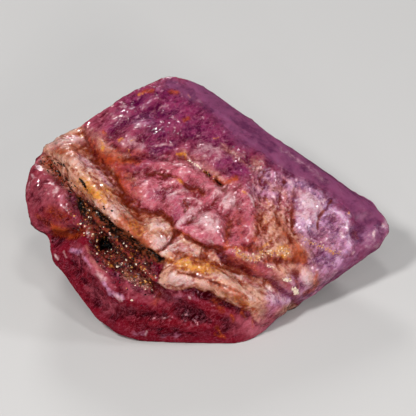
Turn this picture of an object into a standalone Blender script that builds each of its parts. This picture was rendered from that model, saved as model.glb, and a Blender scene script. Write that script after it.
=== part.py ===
"""Raw ruby crystal: one broken, waterworn corundum crystal, lying on a flat parting face.

Metres, +Z up. The origin is the middle of the bounding box, at the level of the resting face.
Sizes below are millimetres. The broken front is laid out on a board that leans back from the
viewer: RIGHT runs along +X, UP runs up the board and OUT comes off it. The hidden back and the
resting face are laid out in plain X, Y, Z, before the whole stone is moved to its origin.
"""

import math

import bmesh
import bpy
import numpy as np
from mathutils import Vector, noise

MM = 0.001

# Driving dimensions, millimetres and degrees
LEAN = 35.0  # how far the board of the front leans back from upright
VOXEL = 0.26  # grain of the fused blocks
EDGE_WEAR = 10  # passes that round the edges of the blocks
FEATURE_WEAR = 3  # passes that soften the carved features
TRIANGLES = 9000  # of the finished stone
FLAT_SNAP = 0.08  # corners this near the resting face are moved onto it

# Where a surface takes the relief of the front and of the back: it starts at the first value and
# is full at the second. OUT_* are how squarely the surface faces OUT, UP_* how squarely it faces up.
OUT_FRONT = (0.34, 0.66)
OUT_BACK = (0.30, 0.05)
UP_BACK = (-0.80, -0.50)

WANDER = (0.38, 2.4)  # how far the features stray from their lines, and over what distance
LEDGE_LINE = (-0.79, 11.85)  # slope and height of the line between the upper face and the ledge
TERRACE = (0.30, 3.6)  # height and width of the growth steps on the back
TERRACE_RISE = (0.83, 0.25, 0.50)  # the way those steps climb
TERRACE_WAVE = (2.6, 5.5)  # how far their edges wave, and over what distance
TERRACE_PATCH = 4.0  # size of the patches where the steps show and where they are worn away

# Lumps of the broken faces: height, size across the grain, size along it
ROUGH = ((0.32, 2.6, 4.4), (0.15, 1.25, 2.1))
UPPER_GRAIN = 62.0  # degrees the grain of the upper face rises from RIGHT
LEDGE_GRAIN = -36.0

# The block behind the broken upper face, out to the right-hand tip. The first row of each block
# runs round its edge as seen square to the board, and the next one is nearer the viewer.
UPPER_EDGE = (
    (-3.2, 27.4, -6.4), (-5.1, 27.3, -6.0), (-6.6, 26.3, -5.8), (-9.2, 24.5, -5.8), (-12.0, 22.8, -5.4),
    (-13.5, 21.8, -5.2), (-1.3, 26.6, -7.5), (0.3, 25.4, -8.8), (2.5, 23.6, -10.2), (5.3, 20.7, -10.8),
    (9.2, 17.8, -11.0), (12.8, 15.4, -10.0), (14.9, 14.9, -9.0), (17.1, 13.7, -7.6), (18.8, 12.2, -6.0),
    (18.8, 11.0, -5.6), (17.8, 9.8, -5.0), (15.4, 8.4, -4.4), (13.6, 7.4, -3.8), (11.8, 6.7, -3.0),
    (10.3, 5.9, -2.2), (9.2, 5.1, -1.2),
)
UPPER_FACE = (
    (8.6, 5.2, -0.4), (4.2, 6.9, 1.6), (0.7, 9.4, 2.4), (-2.8, 11.2, 2.4), (-7.3, 12.2, 1.6),
    (-9.6, 14.9, 0.6), (-11.3, 17.9, -1.2), (-12.8, 21.4, -4.6), (-8.3, 23.4, -5.0), (-2.8, 24.9, -5.0),
    (1.7, 22.1, -4.2), (5.4, 19.4, -3.8), (9.2, 16.2, -3.8), (13.2, 12.9, -4.2), (16.0, 10.4, -4.4),
)
UPPER_BACK = (
    (-11.0, 19.0, 9.5), (-2.0, 20.5, 6.5), (6.0, 19.6, 4.5), (10.5, 15.5, 2.5), (12.5, 12.0, 2.6),
    (3.0, 17.0, -0.6), (9.0, 11.5, -0.6), (8.2, 6.0, -0.6), (-6.5, 16.5, -0.6), (-9.5, 18.0, 2.0),
    (-11.0, 13.5, -0.6), (-10.4, 16.6, -0.6),
)

# The ledge that crosses the stone from the upper left to the lower right
LEDGE_EDGE = (
    (-13.4, 21.8, -5.4), (-15.3, 20.9, -5.2), (-16.8, 19.8, -4.8), (8.8, 4.9, -1.6), (8.2, 4.1, -1.2),
    (7.6, 3.2, -0.9), (6.7, 2.6, -0.7), (5.7, 1.9, -0.4), (4.7, 1.3, -0.2), (3.7, 0.4, 0.0), (2.5, 0.0, 0.1),
)
LEDGE_FACE = (
    (-14.9, 19.3, -2.6), (-13.3, 17.9, -0.4), (-11.3, 15.4, 1.5), (-9.0, 12.6, 2.9), (-6.8, 10.4, 3.5),
    (-4.3, 8.6, 3.8), (-0.8, 7.2, 3.6), (3.2, 5.6, 2.6), (6.2, 4.6, 1.0), (-14.8, 17.4, -1.6),
    (-12.8, 14.6, 0.8), (-10.6, 12.2, 2.2), (-8.2, 9.6, 3.1), (-5.4, 6.8, 3.5), (-0.8, 4.2, 3.0),
    (4.2, 2.9, 1.8),
)
LEDGE_BACK = (
    (-15.0, 18.5, 11.0), (-14.0, 17.0, 4.0), (-9.5, 11.5, -0.6), (5.4, 1.8, -0.6), (7.7, 6.2, -0.6),
    (-3.0, 12.0, -0.6), (-11.0, 9.0, 2.0), (-11.5, 18.0, 2.8), (-11.0, 16.0, -0.6),
)

# The toe, the lobe under the ledge that meets the ground along its front
TOE_EDGE = (
    (-16.2, 10.5, -2.0), (-15.9, 8.5, -1.5), (-14.4, 7.2, -1.1), (-13.1, 6.0, -0.7), (-12.3, 4.7, -0.4),
    (-11.8, 3.3, -0.2), (-10.8, 2.1, 0.0), (-9.5, 1.2, 0.1), (-8.1, 0.7, 0.2), (-6.6, 0.5, 0.3),
    (0.0, 0.2, 0.3), (2.5, 0.0, 0.1), (3.9, 0.4, 0.0), (4.8, 1.3, -0.2), (5.7, 1.9, -0.4), (6.7, 2.6, -0.7),
)
TOE_FACE = (
    (-12.0, 10.6, 1.0), (-10.8, 8.2, 1.8), (-9.0, 5.7, 2.2), (-6.8, 4.2, 2.4), (-12.3, 5.9, 0.8),
    (-9.8, 3.2, 1.0), (-5.8, 1.8, 1.4), (-0.8, 1.6, 1.6), (3.2, 1.6, 1.0), (-13.6, 12.6, 0.0),
    (-9.6, 11.6, 0.6), (-5.0, 7.6, 1.8),
)
TOE_BACK = (
    (-8.3, 2.6, -0.6), (-5.8, 0.7, -0.6), (3.2, 0.2, -0.6), (5.4, 1.8, -0.6), (-11.5, 10.0, -0.6),
    (-13.5, 9.0, 4.0), (-6.0, 14.0, -0.6), (3.0, 12.0, -0.6), (-12.6, 12.0, -0.6), (-13.8, 11.4, 2.2),
)

# The heel, the rounded lobe at the left-hand end
HEEL_EDGE = (
    (-16.8, 19.6, -4.8), (-18.0, 17.8, -4.2), (-18.5, 15.8, -3.6), (-18.5, 13.8, -3.0), (-17.8, 11.9, -2.5),
    (-16.2, 10.9, -2.2),
)
HEEL_FACE = (
    (-16.4, 17.0, -2.5), (-14.8, 15.4, -0.9), (-13.2, 12.9, 0.2), (-14.6, 11.2, -0.4), (-16.8, 12.9, -1.6),
    (-11.6, 13.2, 0.8),
)
HEEL_BACK = (
    (-16.4, 16.0, 5.6), (-15.8, 18.4, 10.4), (-15.0, 14.6, 1.8), (-14.6, 17.6, 3.4), (-12.0, 12.5, -0.6),
    (-12.0, 15.8, -0.6), (-9.0, 16.0, -0.6), (-10.0, 16.5, 11.0),
)

BLOCKS = (
    (UPPER_EDGE + UPPER_FACE, UPPER_BACK),
    (LEDGE_EDGE + LEDGE_FACE, LEDGE_BACK),
    (TOE_EDGE + TOE_FACE, TOE_BACK),
    (HEEL_EDGE + HEEL_FACE, HEEL_BACK),
)

# Ridges (+) and grooves (-) on the front: height, half width, then the line, RIGHT and UP
FOLDS = (
    # the stained valley between the upper face and the ledge
    (-1.0, 0.72, ((-12.8, 22.0), (-12.3, 20.2), (-11.5, 18.7), (-10.5, 17.6), (-9.5, 16.6), (-8.9, 15.4),
                  (-8.1, 14.2), (-7.0, 13.4), (-5.8, 13.1), (-4.6, 13.0), (-3.7, 12.2), (-3.0, 11.0))),
    # the crease where the slab of the upper face overhangs the ledge
    (-0.9, 0.58, ((-3.6, 11.6), (-2.0, 10.7), (-1.0, 10.2), (0.0, 9.7), (1.0, 9.1), (1.8, 8.4), (2.8, 7.7),
                  (3.9, 7.1), (5.1, 6.6), (6.3, 6.0), (7.5, 5.3), (9.1, 4.4))),
    # the speckled lip along the top of that slab
    (0.4, 0.50, ((1.6, 9.9), (2.8, 9.6), (4.0, 9.1), (5.2, 8.6), (6.4, 7.9), (7.8, 6.8), (8.8, 5.8))),
    # the undercut below the ledge
    (-1.6, 0.78, ((-17.4, 19.5), (-16.4, 18.4), (-15.2, 17.0), (-14.0, 15.8), (-12.9, 14.4), (-11.7, 12.9),
                  (-10.4, 11.8), (-8.8, 10.5), (-7.2, 9.3), (-6.0, 8.3), (-5.1, 7.0), (-4.9, 5.8))),
    # the rim of the toe
    (0.60, 0.80, ((-12.8, 10.4), (-12.0, 8.8), (-11.2, 7.5), (-10.6, 6.4), (-9.7, 5.3), (-9.0, 4.5),
                  (-8.0, 4.4), (-6.6, 4.2), (-5.0, 3.8))),
    # the nick between heel and toe
    (-1.1, 0.70, ((-17.4, 10.6), (-15.9, 10.5), (-14.8, 10.8), (-13.4, 11.2), (-12.0, 11.8))),
    # the creases that part the lobes in the middle of the upper face
    (-0.55, 0.48, ((-2.6, 11.4), (-1.3, 12.5), (-0.2, 13.2), (0.8, 14.2), (1.5, 15.4))),
    (-0.42, 0.55, ((0.9, 13.8), (1.9, 12.7), (2.1, 11.4), (1.6, 9.8))),
    (-0.40, 0.52, ((-2.4, 12.0), (-1.6, 13.2), (-1.9, 14.2), (-1.1, 15.0))),
    (-0.44, 0.58, ((-4.8, 12.8), (-4.5, 14.2), (-3.9, 15.4), (-2.6, 16.0), (-1.2, 15.6), (-0.4, 14.6))),
    (-0.45, 0.50, ((-7.8, 16.6), (-6.4, 17.2), (-4.8, 17.0), (-3.8, 16.2))),
    # the crack above them
    (-0.65, 0.40, ((-3.8, 19.6), (-2.4, 18.6), (-1.0, 17.7), (0.2, 16.9), (1.2, 15.9), (2.0, 15.0))),
    # upright folds towards the tip
    (0.34, 0.75, ((3.4, 16.2), (4.2, 14.4), (4.4, 12.6), (4.6, 11.0), (5.2, 9.6))),
    (-0.34, 0.70, ((5.8, 17.8), (5.4, 15.4), (5.2, 13.0), (5.5, 10.6))),
    (0.26, 0.65, ((6.6, 16.6), (6.2, 13.6), (6.4, 11.2))),
    (-0.24, 0.60, ((7.4, 17.2), (7.0, 14.4), (7.2, 11.4))),
    (0.24, 0.60, ((8.2, 16.2), (7.8, 13.4), (7.8, 10.8))),
    (-0.38, 0.62, ((9.2, 16.4), (8.6, 14.2), (8.5, 12.0), (8.9, 10.2))),
    (-0.36, 0.60, ((12.8, 15.2), (11.7, 13.6), (11.2, 12.2), (11.0, 10.4))),
    (0.42, 0.70, ((11.8, 14.2), (13.3, 13.2), (14.0, 12.0), (14.0, 10.6), (13.0, 9.2))),
    (0.40, 0.45, ((17.0, 12.0), (16.2, 10.4), (14.8, 9.0))),
    (-0.34, 0.55, ((5.2, 8.5), (6.8, 8.2), (8.2, 8.2), (9.8, 8.9))),
    # the groove that ends in the notch of the lower edge
    (-0.70, 0.50, ((9.6, 4.4), (9.2, 5.6), (9.0, 6.6), (8.6, 7.8))),
    # streaks of the upper face
    (-0.45, 0.50, ((-10.6, 20.0), (-8.8, 21.7), (-6.8, 22.8), (-4.4, 24.0))),
    (0.45, 0.50, ((-11.0, 21.4), (-8.8, 22.9), (-6.4, 24.2), (-4.6, 25.0))),
    (0.40, 0.50, ((-9.4, 19.8), (-7.6, 21.4), (-5.4, 22.4))),
    (-0.40, 0.45, ((-9.0, 18.4), (-6.8, 18.8), (-4.4, 18.6), (-3.0, 17.8))),
    # creases that part the knuckles of the ledge
    (-0.50, 0.42, ((-7.4, 13.4), (-6.9, 12.2), (-6.7, 10.8), (-6.2, 9.6))),
    (-0.60, 0.40, ((-3.0, 11.4), (-3.9, 10.3), (-4.7, 9.4), (-5.4, 8.8))),
    (-0.50, 0.48, ((-5.4, 8.3), (-4.2, 8.0), (-2.8, 7.4), (-1.4, 7.0), (0.2, 6.9), (1.4, 6.4))),
    (-0.65, 0.68, ((-5.6, 5.8), (-4.2, 5.2), (-2.6, 5.3), (-1.4, 5.4), (0.0, 4.9), (1.0, 4.3), (2.4, 3.9),
                   (3.8, 3.3), (5.2, 2.5))),
    # wavelets down the front of the toe
    (-0.38, 0.95, ((-14.8, 9.2), (-13.0, 7.8), (-11.6, 5.8), (-10.0, 3.9), (-8.0, 2.8))),
    (0.40, 0.60, ((-6.6, 2.2), (-3.6, 2.2), (-1.0, 1.5), (1.6, 2.1))),
)

# Lumps (+) and pits (-) on the front: height, RIGHT, UP, the two radii and the turn of the first
LUMPS = (
    (-1.7, -10.1, 9.7, 1.0, 0.8, -40.0),  # the pit in the undercut
    (-1.1, -8.6, 8.4, 3.2, 1.4, -42.0),  # the hollow round it
    (0.60, -11.2, 14.4, 1.2, 0.9, -50.0),
    (0.55, -13.6, 18.8, 1.6, 0.9, -50.0),
    (0.55, -9.0, 12.8, 1.3, 0.8, -42.0),
    (0.70, -5.3, 11.5, 1.3, 1.2, 0.0),
    (0.60, -2.2, 9.7, 1.7, 0.8, -20.0),
    (0.45, 1.8, 6.4, 1.8, 0.8, -30.0),
    (0.60, -3.0, 6.5, 1.7, 0.8, -12.0),
    (0.50, 2.8, 5.0, 1.8, 0.7, -28.0),
    (0.45, 5.6, 4.4, 1.6, 0.8, -28.0),
    (0.80, 0.1, 12.0, 1.3, 1.1, 35.0),
    (0.65, -3.0, 14.0, 1.2, 1.0, 30.0),
    (0.55, -5.8, 15.2, 1.5, 1.0, 15.0),
    (0.50, -2.2, 17.3, 1.7, 0.8, -25.0),
    (0.45, 0.8, 18.8, 1.5, 0.9, -30.0),
    (-0.50, 3.2, 12.3, 1.7, 0.8, 80.0),
    (0.55, 10.2, 14.0, 1.5, 1.1, -35.0),
    (-0.55, 14.8, 10.9, 0.8, 0.6, 80.0),
    (0.60, 7.4, 9.5, 0.9, 0.7, 0.0),
    (-0.40, 12.0, 8.2, 1.0, 0.7, 20.0),
    (0.50, 9.9, 6.8, 1.0, 0.9, 0.0),
    (-0.50, -4.2, 23.0, 1.1, 0.6, 10.0),
    (-0.45, -7.0, 24.2, 1.1, 0.5, 20.0),
    (-0.50, -5.0, 21.4, 1.2, 0.9, 20.0),
    (-0.45, -1.8, 21.8, 0.9, 0.7, 0.0),
    (0.50, -8.2, 19.8, 1.3, 0.8, 30.0),
    (0.50, -15.8, 14.2, 1.5, 2.0, 10.0),
    (-0.45, -16.2, 12.0, 1.2, 0.7, 20.0),
    (-0.40, -3.4, 3.0, 2.8, 0.7, 0.0),
)


def on_board(right, up, out):
    """The place of a point of the board, in X, Y, Z."""
    lean = math.radians(LEAN)
    y = up * math.sin(lean) - out * math.cos(lean)
    z = up * math.cos(lean) + out * math.sin(lean)
    return Vector((right, y, z))


def add_block(mesh, front, back):
    """Adds the convex block that spans these corners."""
    block = bmesh.new()
    for corner in front:
        block.verts.new(on_board(*corner) * MM)
    for corner in back:
        block.verts.new(Vector(corner) * MM)
    hull = bmesh.ops.convex_hull(block, input=block.verts)
    spare = [item for item in hull["geom_interior"] if isinstance(item, bmesh.types.BMVert)]
    bmesh.ops.delete(block, geom=spare, context="VERTS")
    piece = bpy.data.meshes.new("block")
    block.to_mesh(piece)
    block.free()
    mesh.from_mesh(piece)
    bpy.data.meshes.remove(piece)


def fused_blocks():
    """The blocks grown together and their edges worn round, as one object."""
    mesh = bmesh.new()
    for front, back in BLOCKS:
        add_block(mesh, front, back)
    data = bpy.data.meshes.new("ruby_crystal")
    mesh.to_mesh(data)
    mesh.free()
    stone = bpy.data.objects.new("ruby_crystal", data)
    bpy.context.scene.collection.objects.link(stone)
    add_fusing(stone)
    add_wear(stone, EDGE_WEAR)
    settle(stone)
    return stone


def add_fusing(stone):
    """Grows everything in the stone into one skin, once its modifiers are settled."""
    fuse = stone.modifiers.new("fuse", "REMESH")
    fuse.mode = "VOXEL"
    fuse.voxel_size = VOXEL * MM


def add_wear(stone, passes):
    """Rounds the stone over, once its modifiers are settled."""
    wear = stone.modifiers.new("wear", "SMOOTH")
    wear.factor = 0.5
    wear.iterations = passes


def settle(stone):
    """Turns the stone's modifiers into its own mesh."""
    graph = bpy.context.evaluated_depsgraph_get()
    made = bpy.data.meshes.new_from_object(stone.evaluated_get(graph))
    stone.modifiers.clear()
    stone.data = made


def smooth_step(low, high, x):
    """0 below low, 1 above high, and an S between them."""
    t = np.clip((x - low) / (high - low), 0.0, 1.0)
    return t * t * (3.0 - 2.0 * t)


def noise_at(points, shift=0.0):
    """Smooth noise, about -0.7 to 0.7, at each point."""
    return np.array([noise.noise(Vector(p) + Vector((shift, shift, shift))) for p in points])


def fold_profile(line, half_width, places):
    """1 on a line of points, fading off to each side of it and towards its two ends."""
    gaps = np.full(len(places), np.inf)
    shares = np.zeros(len(places))
    steps = len(line) - 1
    for i, (start, end) in enumerate(zip(line[:-1], line[1:])):
        start, along = np.array(start), np.subtract(end, start)
        share = np.clip((places - start) @ along / (along @ along), 0.0, 1.0)
        gap = np.linalg.norm(places - start - share[:, None] * along, axis=1)
        shares = np.where(gap < gaps, (i + share) / steps, shares)
        gaps = np.minimum(gaps, gap)
    fade = 1.0 - np.abs(2.0 * shares - 1.0) ** 6
    return np.exp(-((gaps / half_width) ** 2)) * fade


def front_relief(places):
    """The height of the front's folds, lumps and pits at each place on the board."""
    relief = np.zeros(len(places))
    for height, half_width, line in FOLDS:
        relief += height * fold_profile(line, half_width, places)
    for height, right, up, along, across, turn in LUMPS:
        c, s = math.cos(math.radians(turn)), math.sin(math.radians(turn))
        x, y = (places - (right, up)).T
        reach = ((c * x + s * y) / along) ** 2 + ((c * y - s * x) / across) ** 2
        relief += height * np.exp(-reach)
    return relief


def lumpy(spots, grain):
    """Round lumps parted by creases, drawn out along the grain."""
    c, s = math.cos(math.radians(grain)), math.sin(math.radians(grain))
    along = spots[:, 0] * c + spots[:, 1] * s
    across = spots[:, 1] * c - spots[:, 0] * s
    relief = np.zeros(len(spots))
    for height, width, length in ROUGH:
        scaled = np.stack((along / length, across / width, spots[:, 2] / width), axis=1)
        relief += height * (np.abs(noise_at(scaled, width)) * 2.0 - 0.5)
    return relief


def broken_relief(spots):
    """The height of the broken front above its blocks, at each point given as RIGHT, UP, OUT."""
    stray, spread = WANDER
    strays = np.stack((noise_at(spots / spread), noise_at(spots / spread, 9.0)), axis=1)
    slope, level = LEDGE_LINE
    upper = smooth_step(-1.0, 1.0, spots[:, 1] - slope * spots[:, 0] - level)
    rough = upper * lumpy(spots, UPPER_GRAIN) + (1.0 - upper) * lumpy(spots, LEDGE_GRAIN)
    return front_relief(spots[:, :2] + stray * strays) + rough


def growth_relief(points):
    """The height of the growth steps of the back, each a low scarp and a slope back down."""
    height, width = TERRACE
    wave, wavelength = TERRACE_WAVE
    climb = points @ np.array(TERRACE_RISE) + wave * noise_at(points / wavelength, 4.0)
    share = climb / width % 1.0
    step = smooth_step(0.86, 1.0, share) - share + 0.3
    return height * step * smooth_step(-0.35, 0.15, noise_at(points / TERRACE_PATCH, 7.0))


def carve(stone):
    """Works the front's relief and the back's growth steps into the stone."""
    mesh = stone.data
    points = np.array([v.co for v in mesh.vertices]) / MM
    normals = np.array([v.normal for v in mesh.vertices])
    axes = np.array([on_board(1, 0, 0), on_board(0, 1, 0), on_board(0, 0, 1)])
    square = normals @ axes[2]
    front = smooth_step(*OUT_FRONT, square)
    back = smooth_step(*OUT_BACK, square) * smooth_step(*UP_BACK, normals[:, 2])
    moves = (broken_relief(points @ axes.T) * front)[:, None] * axes[2]
    moves += (growth_relief(points) * back)[:, None] * normals
    mesh.vertices.foreach_set("co", ((points + moves) * MM).ravel())
    mesh.update()
    add_fusing(stone)
    add_wear(stone, FEATURE_WEAR)
    settle(stone)


def thin_out(stone):
    """Leaves the stone the triangles it needs, most of them where it is most uneven."""
    thin = stone.modifiers.new("thin", "DECIMATE")
    thin.ratio = TRIANGLES / (2.0 * len(stone.data.polygons))
    thin.use_collapse_triangulate = True
    settle(stone)


def cut_resting_face(stone):
    """Cuts the stone flat where it rests, and closes the cut."""
    mesh = bmesh.new()
    mesh.from_mesh(stone.data)
    for vert in mesh.verts:
        if abs(vert.co.z) < FLAT_SNAP * MM:
            vert.co.z = 0.0
    geom = mesh.verts[:] + mesh.edges[:] + mesh.faces[:]
    bmesh.ops.bisect_plane(mesh, geom=geom, plane_no=(0, 0, 1), dist=1e-7, clear_inner=True)
    loose = [vert for vert in mesh.verts if not vert.link_faces]
    bmesh.ops.delete(mesh, geom=loose, context="VERTS")
    rim = [edge for edge in mesh.edges if edge.is_boundary]
    bmesh.ops.holes_fill(mesh, edges=rim, sides=0)
    bmesh.ops.triangulate(mesh, faces=[face for face in mesh.faces if len(face.verts) > 3])
    bmesh.ops.recalc_face_normals(mesh, faces=mesh.faces)
    mesh.to_mesh(stone.data)
    mesh.free()


def move_to_origin(stone):
    """Moves the stone so the origin is the middle of its box, at its resting face."""
    points = np.array([v.co for v in stone.data.vertices])
    low, high = points.min(axis=0), points.max(axis=0)
    middle = (low + high) / 2.0
    points -= (middle[0], middle[1], low[2])
    stone.data.vertices.foreach_set("co", points.ravel())
    stone.data.update()


def add_finish(stone):
    """Gives the stone its material, clear red corundum."""
    ruby = bpy.data.materials.new("ruby")
    ruby.use_nodes = True
    finish = ruby.node_tree.nodes["Principled BSDF"]
    finish.inputs["Base Color"].default_value = (0.36, 0.055, 0.13, 1.0)
    finish.inputs["Roughness"].default_value = 0.30
    finish.inputs["IOR"].default_value = 1.77
    stone.data.materials.clear()
    stone.data.materials.append(ruby)


def main():
    for old in list(bpy.data.objects):
        bpy.data.objects.remove(old)
    stone = fused_blocks()
    carve(stone)
    thin_out(stone)
    cut_resting_face(stone)
    move_to_origin(stone)
    add_finish(stone)


main()
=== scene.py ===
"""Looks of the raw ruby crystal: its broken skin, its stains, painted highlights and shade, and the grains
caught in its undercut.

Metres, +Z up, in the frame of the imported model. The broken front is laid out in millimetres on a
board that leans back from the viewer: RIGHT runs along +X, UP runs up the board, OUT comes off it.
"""

import logging
import math
from collections.abc import Mapping
from dataclasses import dataclass, field
from enum import Enum
from typing import Any

import bmesh
import bpy
import numpy as np
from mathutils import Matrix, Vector
from mathutils.bvhtree import BVHTree


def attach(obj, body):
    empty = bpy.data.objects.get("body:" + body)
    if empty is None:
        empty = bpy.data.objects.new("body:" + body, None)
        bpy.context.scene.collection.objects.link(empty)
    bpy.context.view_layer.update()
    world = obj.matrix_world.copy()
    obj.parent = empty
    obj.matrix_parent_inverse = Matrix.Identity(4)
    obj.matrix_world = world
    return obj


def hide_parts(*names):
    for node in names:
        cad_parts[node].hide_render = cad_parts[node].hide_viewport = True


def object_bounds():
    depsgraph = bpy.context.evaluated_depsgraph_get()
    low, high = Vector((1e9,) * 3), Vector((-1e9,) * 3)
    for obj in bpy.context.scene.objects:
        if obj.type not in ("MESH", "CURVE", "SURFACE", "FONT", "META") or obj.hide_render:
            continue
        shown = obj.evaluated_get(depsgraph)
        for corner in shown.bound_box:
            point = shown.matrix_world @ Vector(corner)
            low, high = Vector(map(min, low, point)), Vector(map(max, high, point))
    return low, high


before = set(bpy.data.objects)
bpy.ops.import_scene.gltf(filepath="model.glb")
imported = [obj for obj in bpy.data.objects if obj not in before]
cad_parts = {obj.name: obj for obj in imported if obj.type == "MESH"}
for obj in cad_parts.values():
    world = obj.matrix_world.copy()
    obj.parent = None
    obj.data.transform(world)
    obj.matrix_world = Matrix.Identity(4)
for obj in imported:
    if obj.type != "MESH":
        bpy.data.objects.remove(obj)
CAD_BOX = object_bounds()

LOG = logging.getLogger("ruby_crystal")
MM = 0.001
NODE = "ruby_crystal"
BODY = "root"

Array = np.ndarray
Spot = tuple[float, float]
Colour = tuple[float, float, float]


# The board, and the marks laid out on it


@dataclass(frozen=True)
class Board:
    """The leaning board that the broken front is laid out on, in millimetres."""

    lean: float = 35.0  # degrees back from upright
    origin: tuple[float, float, float] = (-0.069, -10.621, 0.0)

    def axes(self) -> Array:
        """RIGHT, UP and OUT as rows, in the frame of the model."""
        s, c = math.sin(math.radians(self.lean)), math.cos(math.radians(self.lean))
        return np.array(((1.0, 0.0, 0.0), (0.0, s, c), (0.0, -c, s)))

    def spots(self, points: Array) -> Array:
        """Places of the model, in metres, as RIGHT, UP and OUT in millimetres."""
        return (points / MM - np.array(self.origin)) @ self.axes().T

    def point(self, right: float, up: float, out: float) -> Vector:
        """A place on the board as a place of the model, in metres."""
        return Vector((np.array((right, up, out)) @ self.axes() + np.array(self.origin)) * MM)

    def out(self) -> Vector:
        """The way off the board."""
        return Vector(self.axes()[2])


BOARD = Board()


class Coat(Enum):
    """What the skin is made of or covered with at a place. The values name vertex attributes."""

    WINE = "wine"
    PURPLE = "purple"
    ROSE = "rose"
    LILAC = "lilac"
    GROWN = "grown"
    PEACH = "peach"
    # pale frosty flaws in the stone, partly painted highlights and glints
    FROST_AND_HIGHLIGHT = "frost_and_highlight"
    STAIN = "stain"
    OCHRE = "ochre"
    CRUST = "crust"
    # black: painted shade in pits and the crack, a painted shadow under the ledge, and black flecks
    PIT_SHADE_AND_FLECK = "pit_shade_and_fleck"


def smooth_step(low: float, high: float, x: Array) -> Array:
    """0 below low, 1 above high, and an S between them."""
    t = np.clip((x - low) / (high - low), 0.0, 1.0)
    return t * t * (3.0 - 2.0 * t)


def gap(places: Array, start: Spot, end: Spot) -> Array:
    """How far each place lies from the straight line between two spots.

    Args:
        places: RIGHT and UP of each place.
        start: where the line starts.
        end: where it ends.

    Returns:
        One distance for each place.
    """
    along = np.subtract(end, start)
    share = np.clip((places - start) @ along / (along @ along), 0.0, 1.0)
    return np.linalg.norm(places - start - share[:, None] * along, axis=1)


def corners(*tenths: int) -> tuple[Spot, ...]:
    """Spots on the board, from RIGHT and UP of each in tenths of a millimetre."""
    return tuple((right / 10, up / 10) for right, up in zip(tenths[::2], tenths[1::2]))


@dataclass(frozen=True)
class Mark:
    """A stroke on the board: how strongly it colours, how far it rises, its half width and its line."""

    strength: float
    rise: float
    half_width: float
    line: tuple[Spot, ...]

    def profile(self, places: Array) -> Array:
        """1 on the line, fading off to nothing beside it.

        Args:
            places: RIGHT and UP of each place, in millimetres.

        Returns:
            One value for each place.
        """
        gaps = np.linalg.norm(places - self.line[0], axis=1)
        for start, end in zip(self.line[:-1], self.line[1:]):
            gaps = np.minimum(gaps, gap(places, start, end))
        return np.exp(-((gaps / self.half_width) ** 2))


def strokes(*rows: tuple[int, ...]) -> tuple[Mark, ...]:
    """Marks from rows of strength, rise and half width in hundredths, then the line's corners."""
    return tuple(Mark(row[0] / 100, row[1] / 100, row[2] / 100, corners(*row[3:])) for row in rows)


@dataclass(frozen=True)
class Lattice:
    """Random values on a cubic lattice, the same on every run."""

    seed: int
    size: int = 4096
    tilt: float = 0.5  # how far the bowls of its scoops lean
    stray: float = 0.42  # how far their middles stray, in cells
    usual: float = 0.3  # the usual height of its scoops

    def table(self) -> Array:
        """Rows of three values from -1 to 1."""
        return np.random.default_rng(self.seed).uniform(-1.0, 1.0, (self.size, 3))

    def rows(self, cells: Array) -> Array:
        """The row of the table that belongs to each whole-numbered cell."""
        x, y, z = cells.astype(np.int64).T
        return (x * 73856093 ^ y * 19349663 ^ z * 83492791) % self.size

    def swell(self, places: Array) -> Array:
        """Smooth noise with features one unit wide.

        Args:
            places: the places, in units.

        Returns:
            One value for each place, about -0.7 to 0.7.
        """
        table = self.table()
        table /= np.linalg.norm(table, axis=1)[:, None]
        cells = np.floor(places)
        inner = places - cells
        ease = inner * inner * inner * (inner * (inner * 6.0 - 15.0) + 10.0)
        total = np.zeros(len(places))
        for corner in np.ndindex(2, 2, 2):
            step = np.array(corner)
            slopes = table[self.rows(cells + step)]
            weight = np.prod(np.where(step == 1, ease, 1.0 - ease), axis=1)
            total += weight * np.einsum("ij,ij->i", slopes, inner - step)
        return total

    def scoops(self, places: Array) -> Array:
        """The lowest of many tilted bowls, one to a cell: shallow scoops with sharp ridges.

        Args:
            places: the places, in cells.

        Returns:
            One height for each place.
        """
        table = self.table()
        turned = np.roll(table, 1, axis=1)
        cells = np.floor(places)
        lowest = np.full(len(places), np.inf)
        for corner in np.ndindex(3, 3, 3):
            near = cells + (np.array(corner) - 1)
            rows = self.rows(near)
            away = places - (near + 0.5 + self.stray * table[rows])
            lean = np.einsum("ij,ij->i", away, turned[rows])
            lowest = np.minimum(lowest, np.einsum("ij,ij->i", away, away) + self.tilt * lean)
        return lowest


class Grain(Enum):
    """The kinds of small relief."""

    SCALLOP = "scallop"  # shallow scoops with sharp ridges between them
    LUMP = "lump"  # round lumps with creases between them
    SWELL = "swell"  # soft waves


@dataclass(frozen=True)
class Relief:
    """One layer of small relief, in millimetres, and how far its grain turns from RIGHT in degrees."""

    kind: Grain
    height: float
    across: float
    along: float
    turn: float
    seed: int

    def over(self, spots: Array) -> Array:
        """The height of the layer.

        Args:
            spots: RIGHT, UP and OUT of each place, in millimetres.

        Returns:
            The height at each place, in millimetres.
        """
        turn = math.radians(self.turn)
        along = spots[:, 0] * math.cos(turn) + spots[:, 1] * math.sin(turn)
        across = spots[:, 1] * math.cos(turn) - spots[:, 0] * math.sin(turn)
        cells = np.stack((along / self.along, across / self.across, spots[:, 2] / self.across), axis=1)
        lattice = Lattice(self.seed)
        if self.kind is Grain.SWELL:
            return self.height * lattice.swell(cells)
        scoops = lattice.scoops(cells)
        lumps = self.kind is Grain.LUMP
        return self.height * (lattice.usual - scoops if lumps else scoops - lattice.usual)


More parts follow.
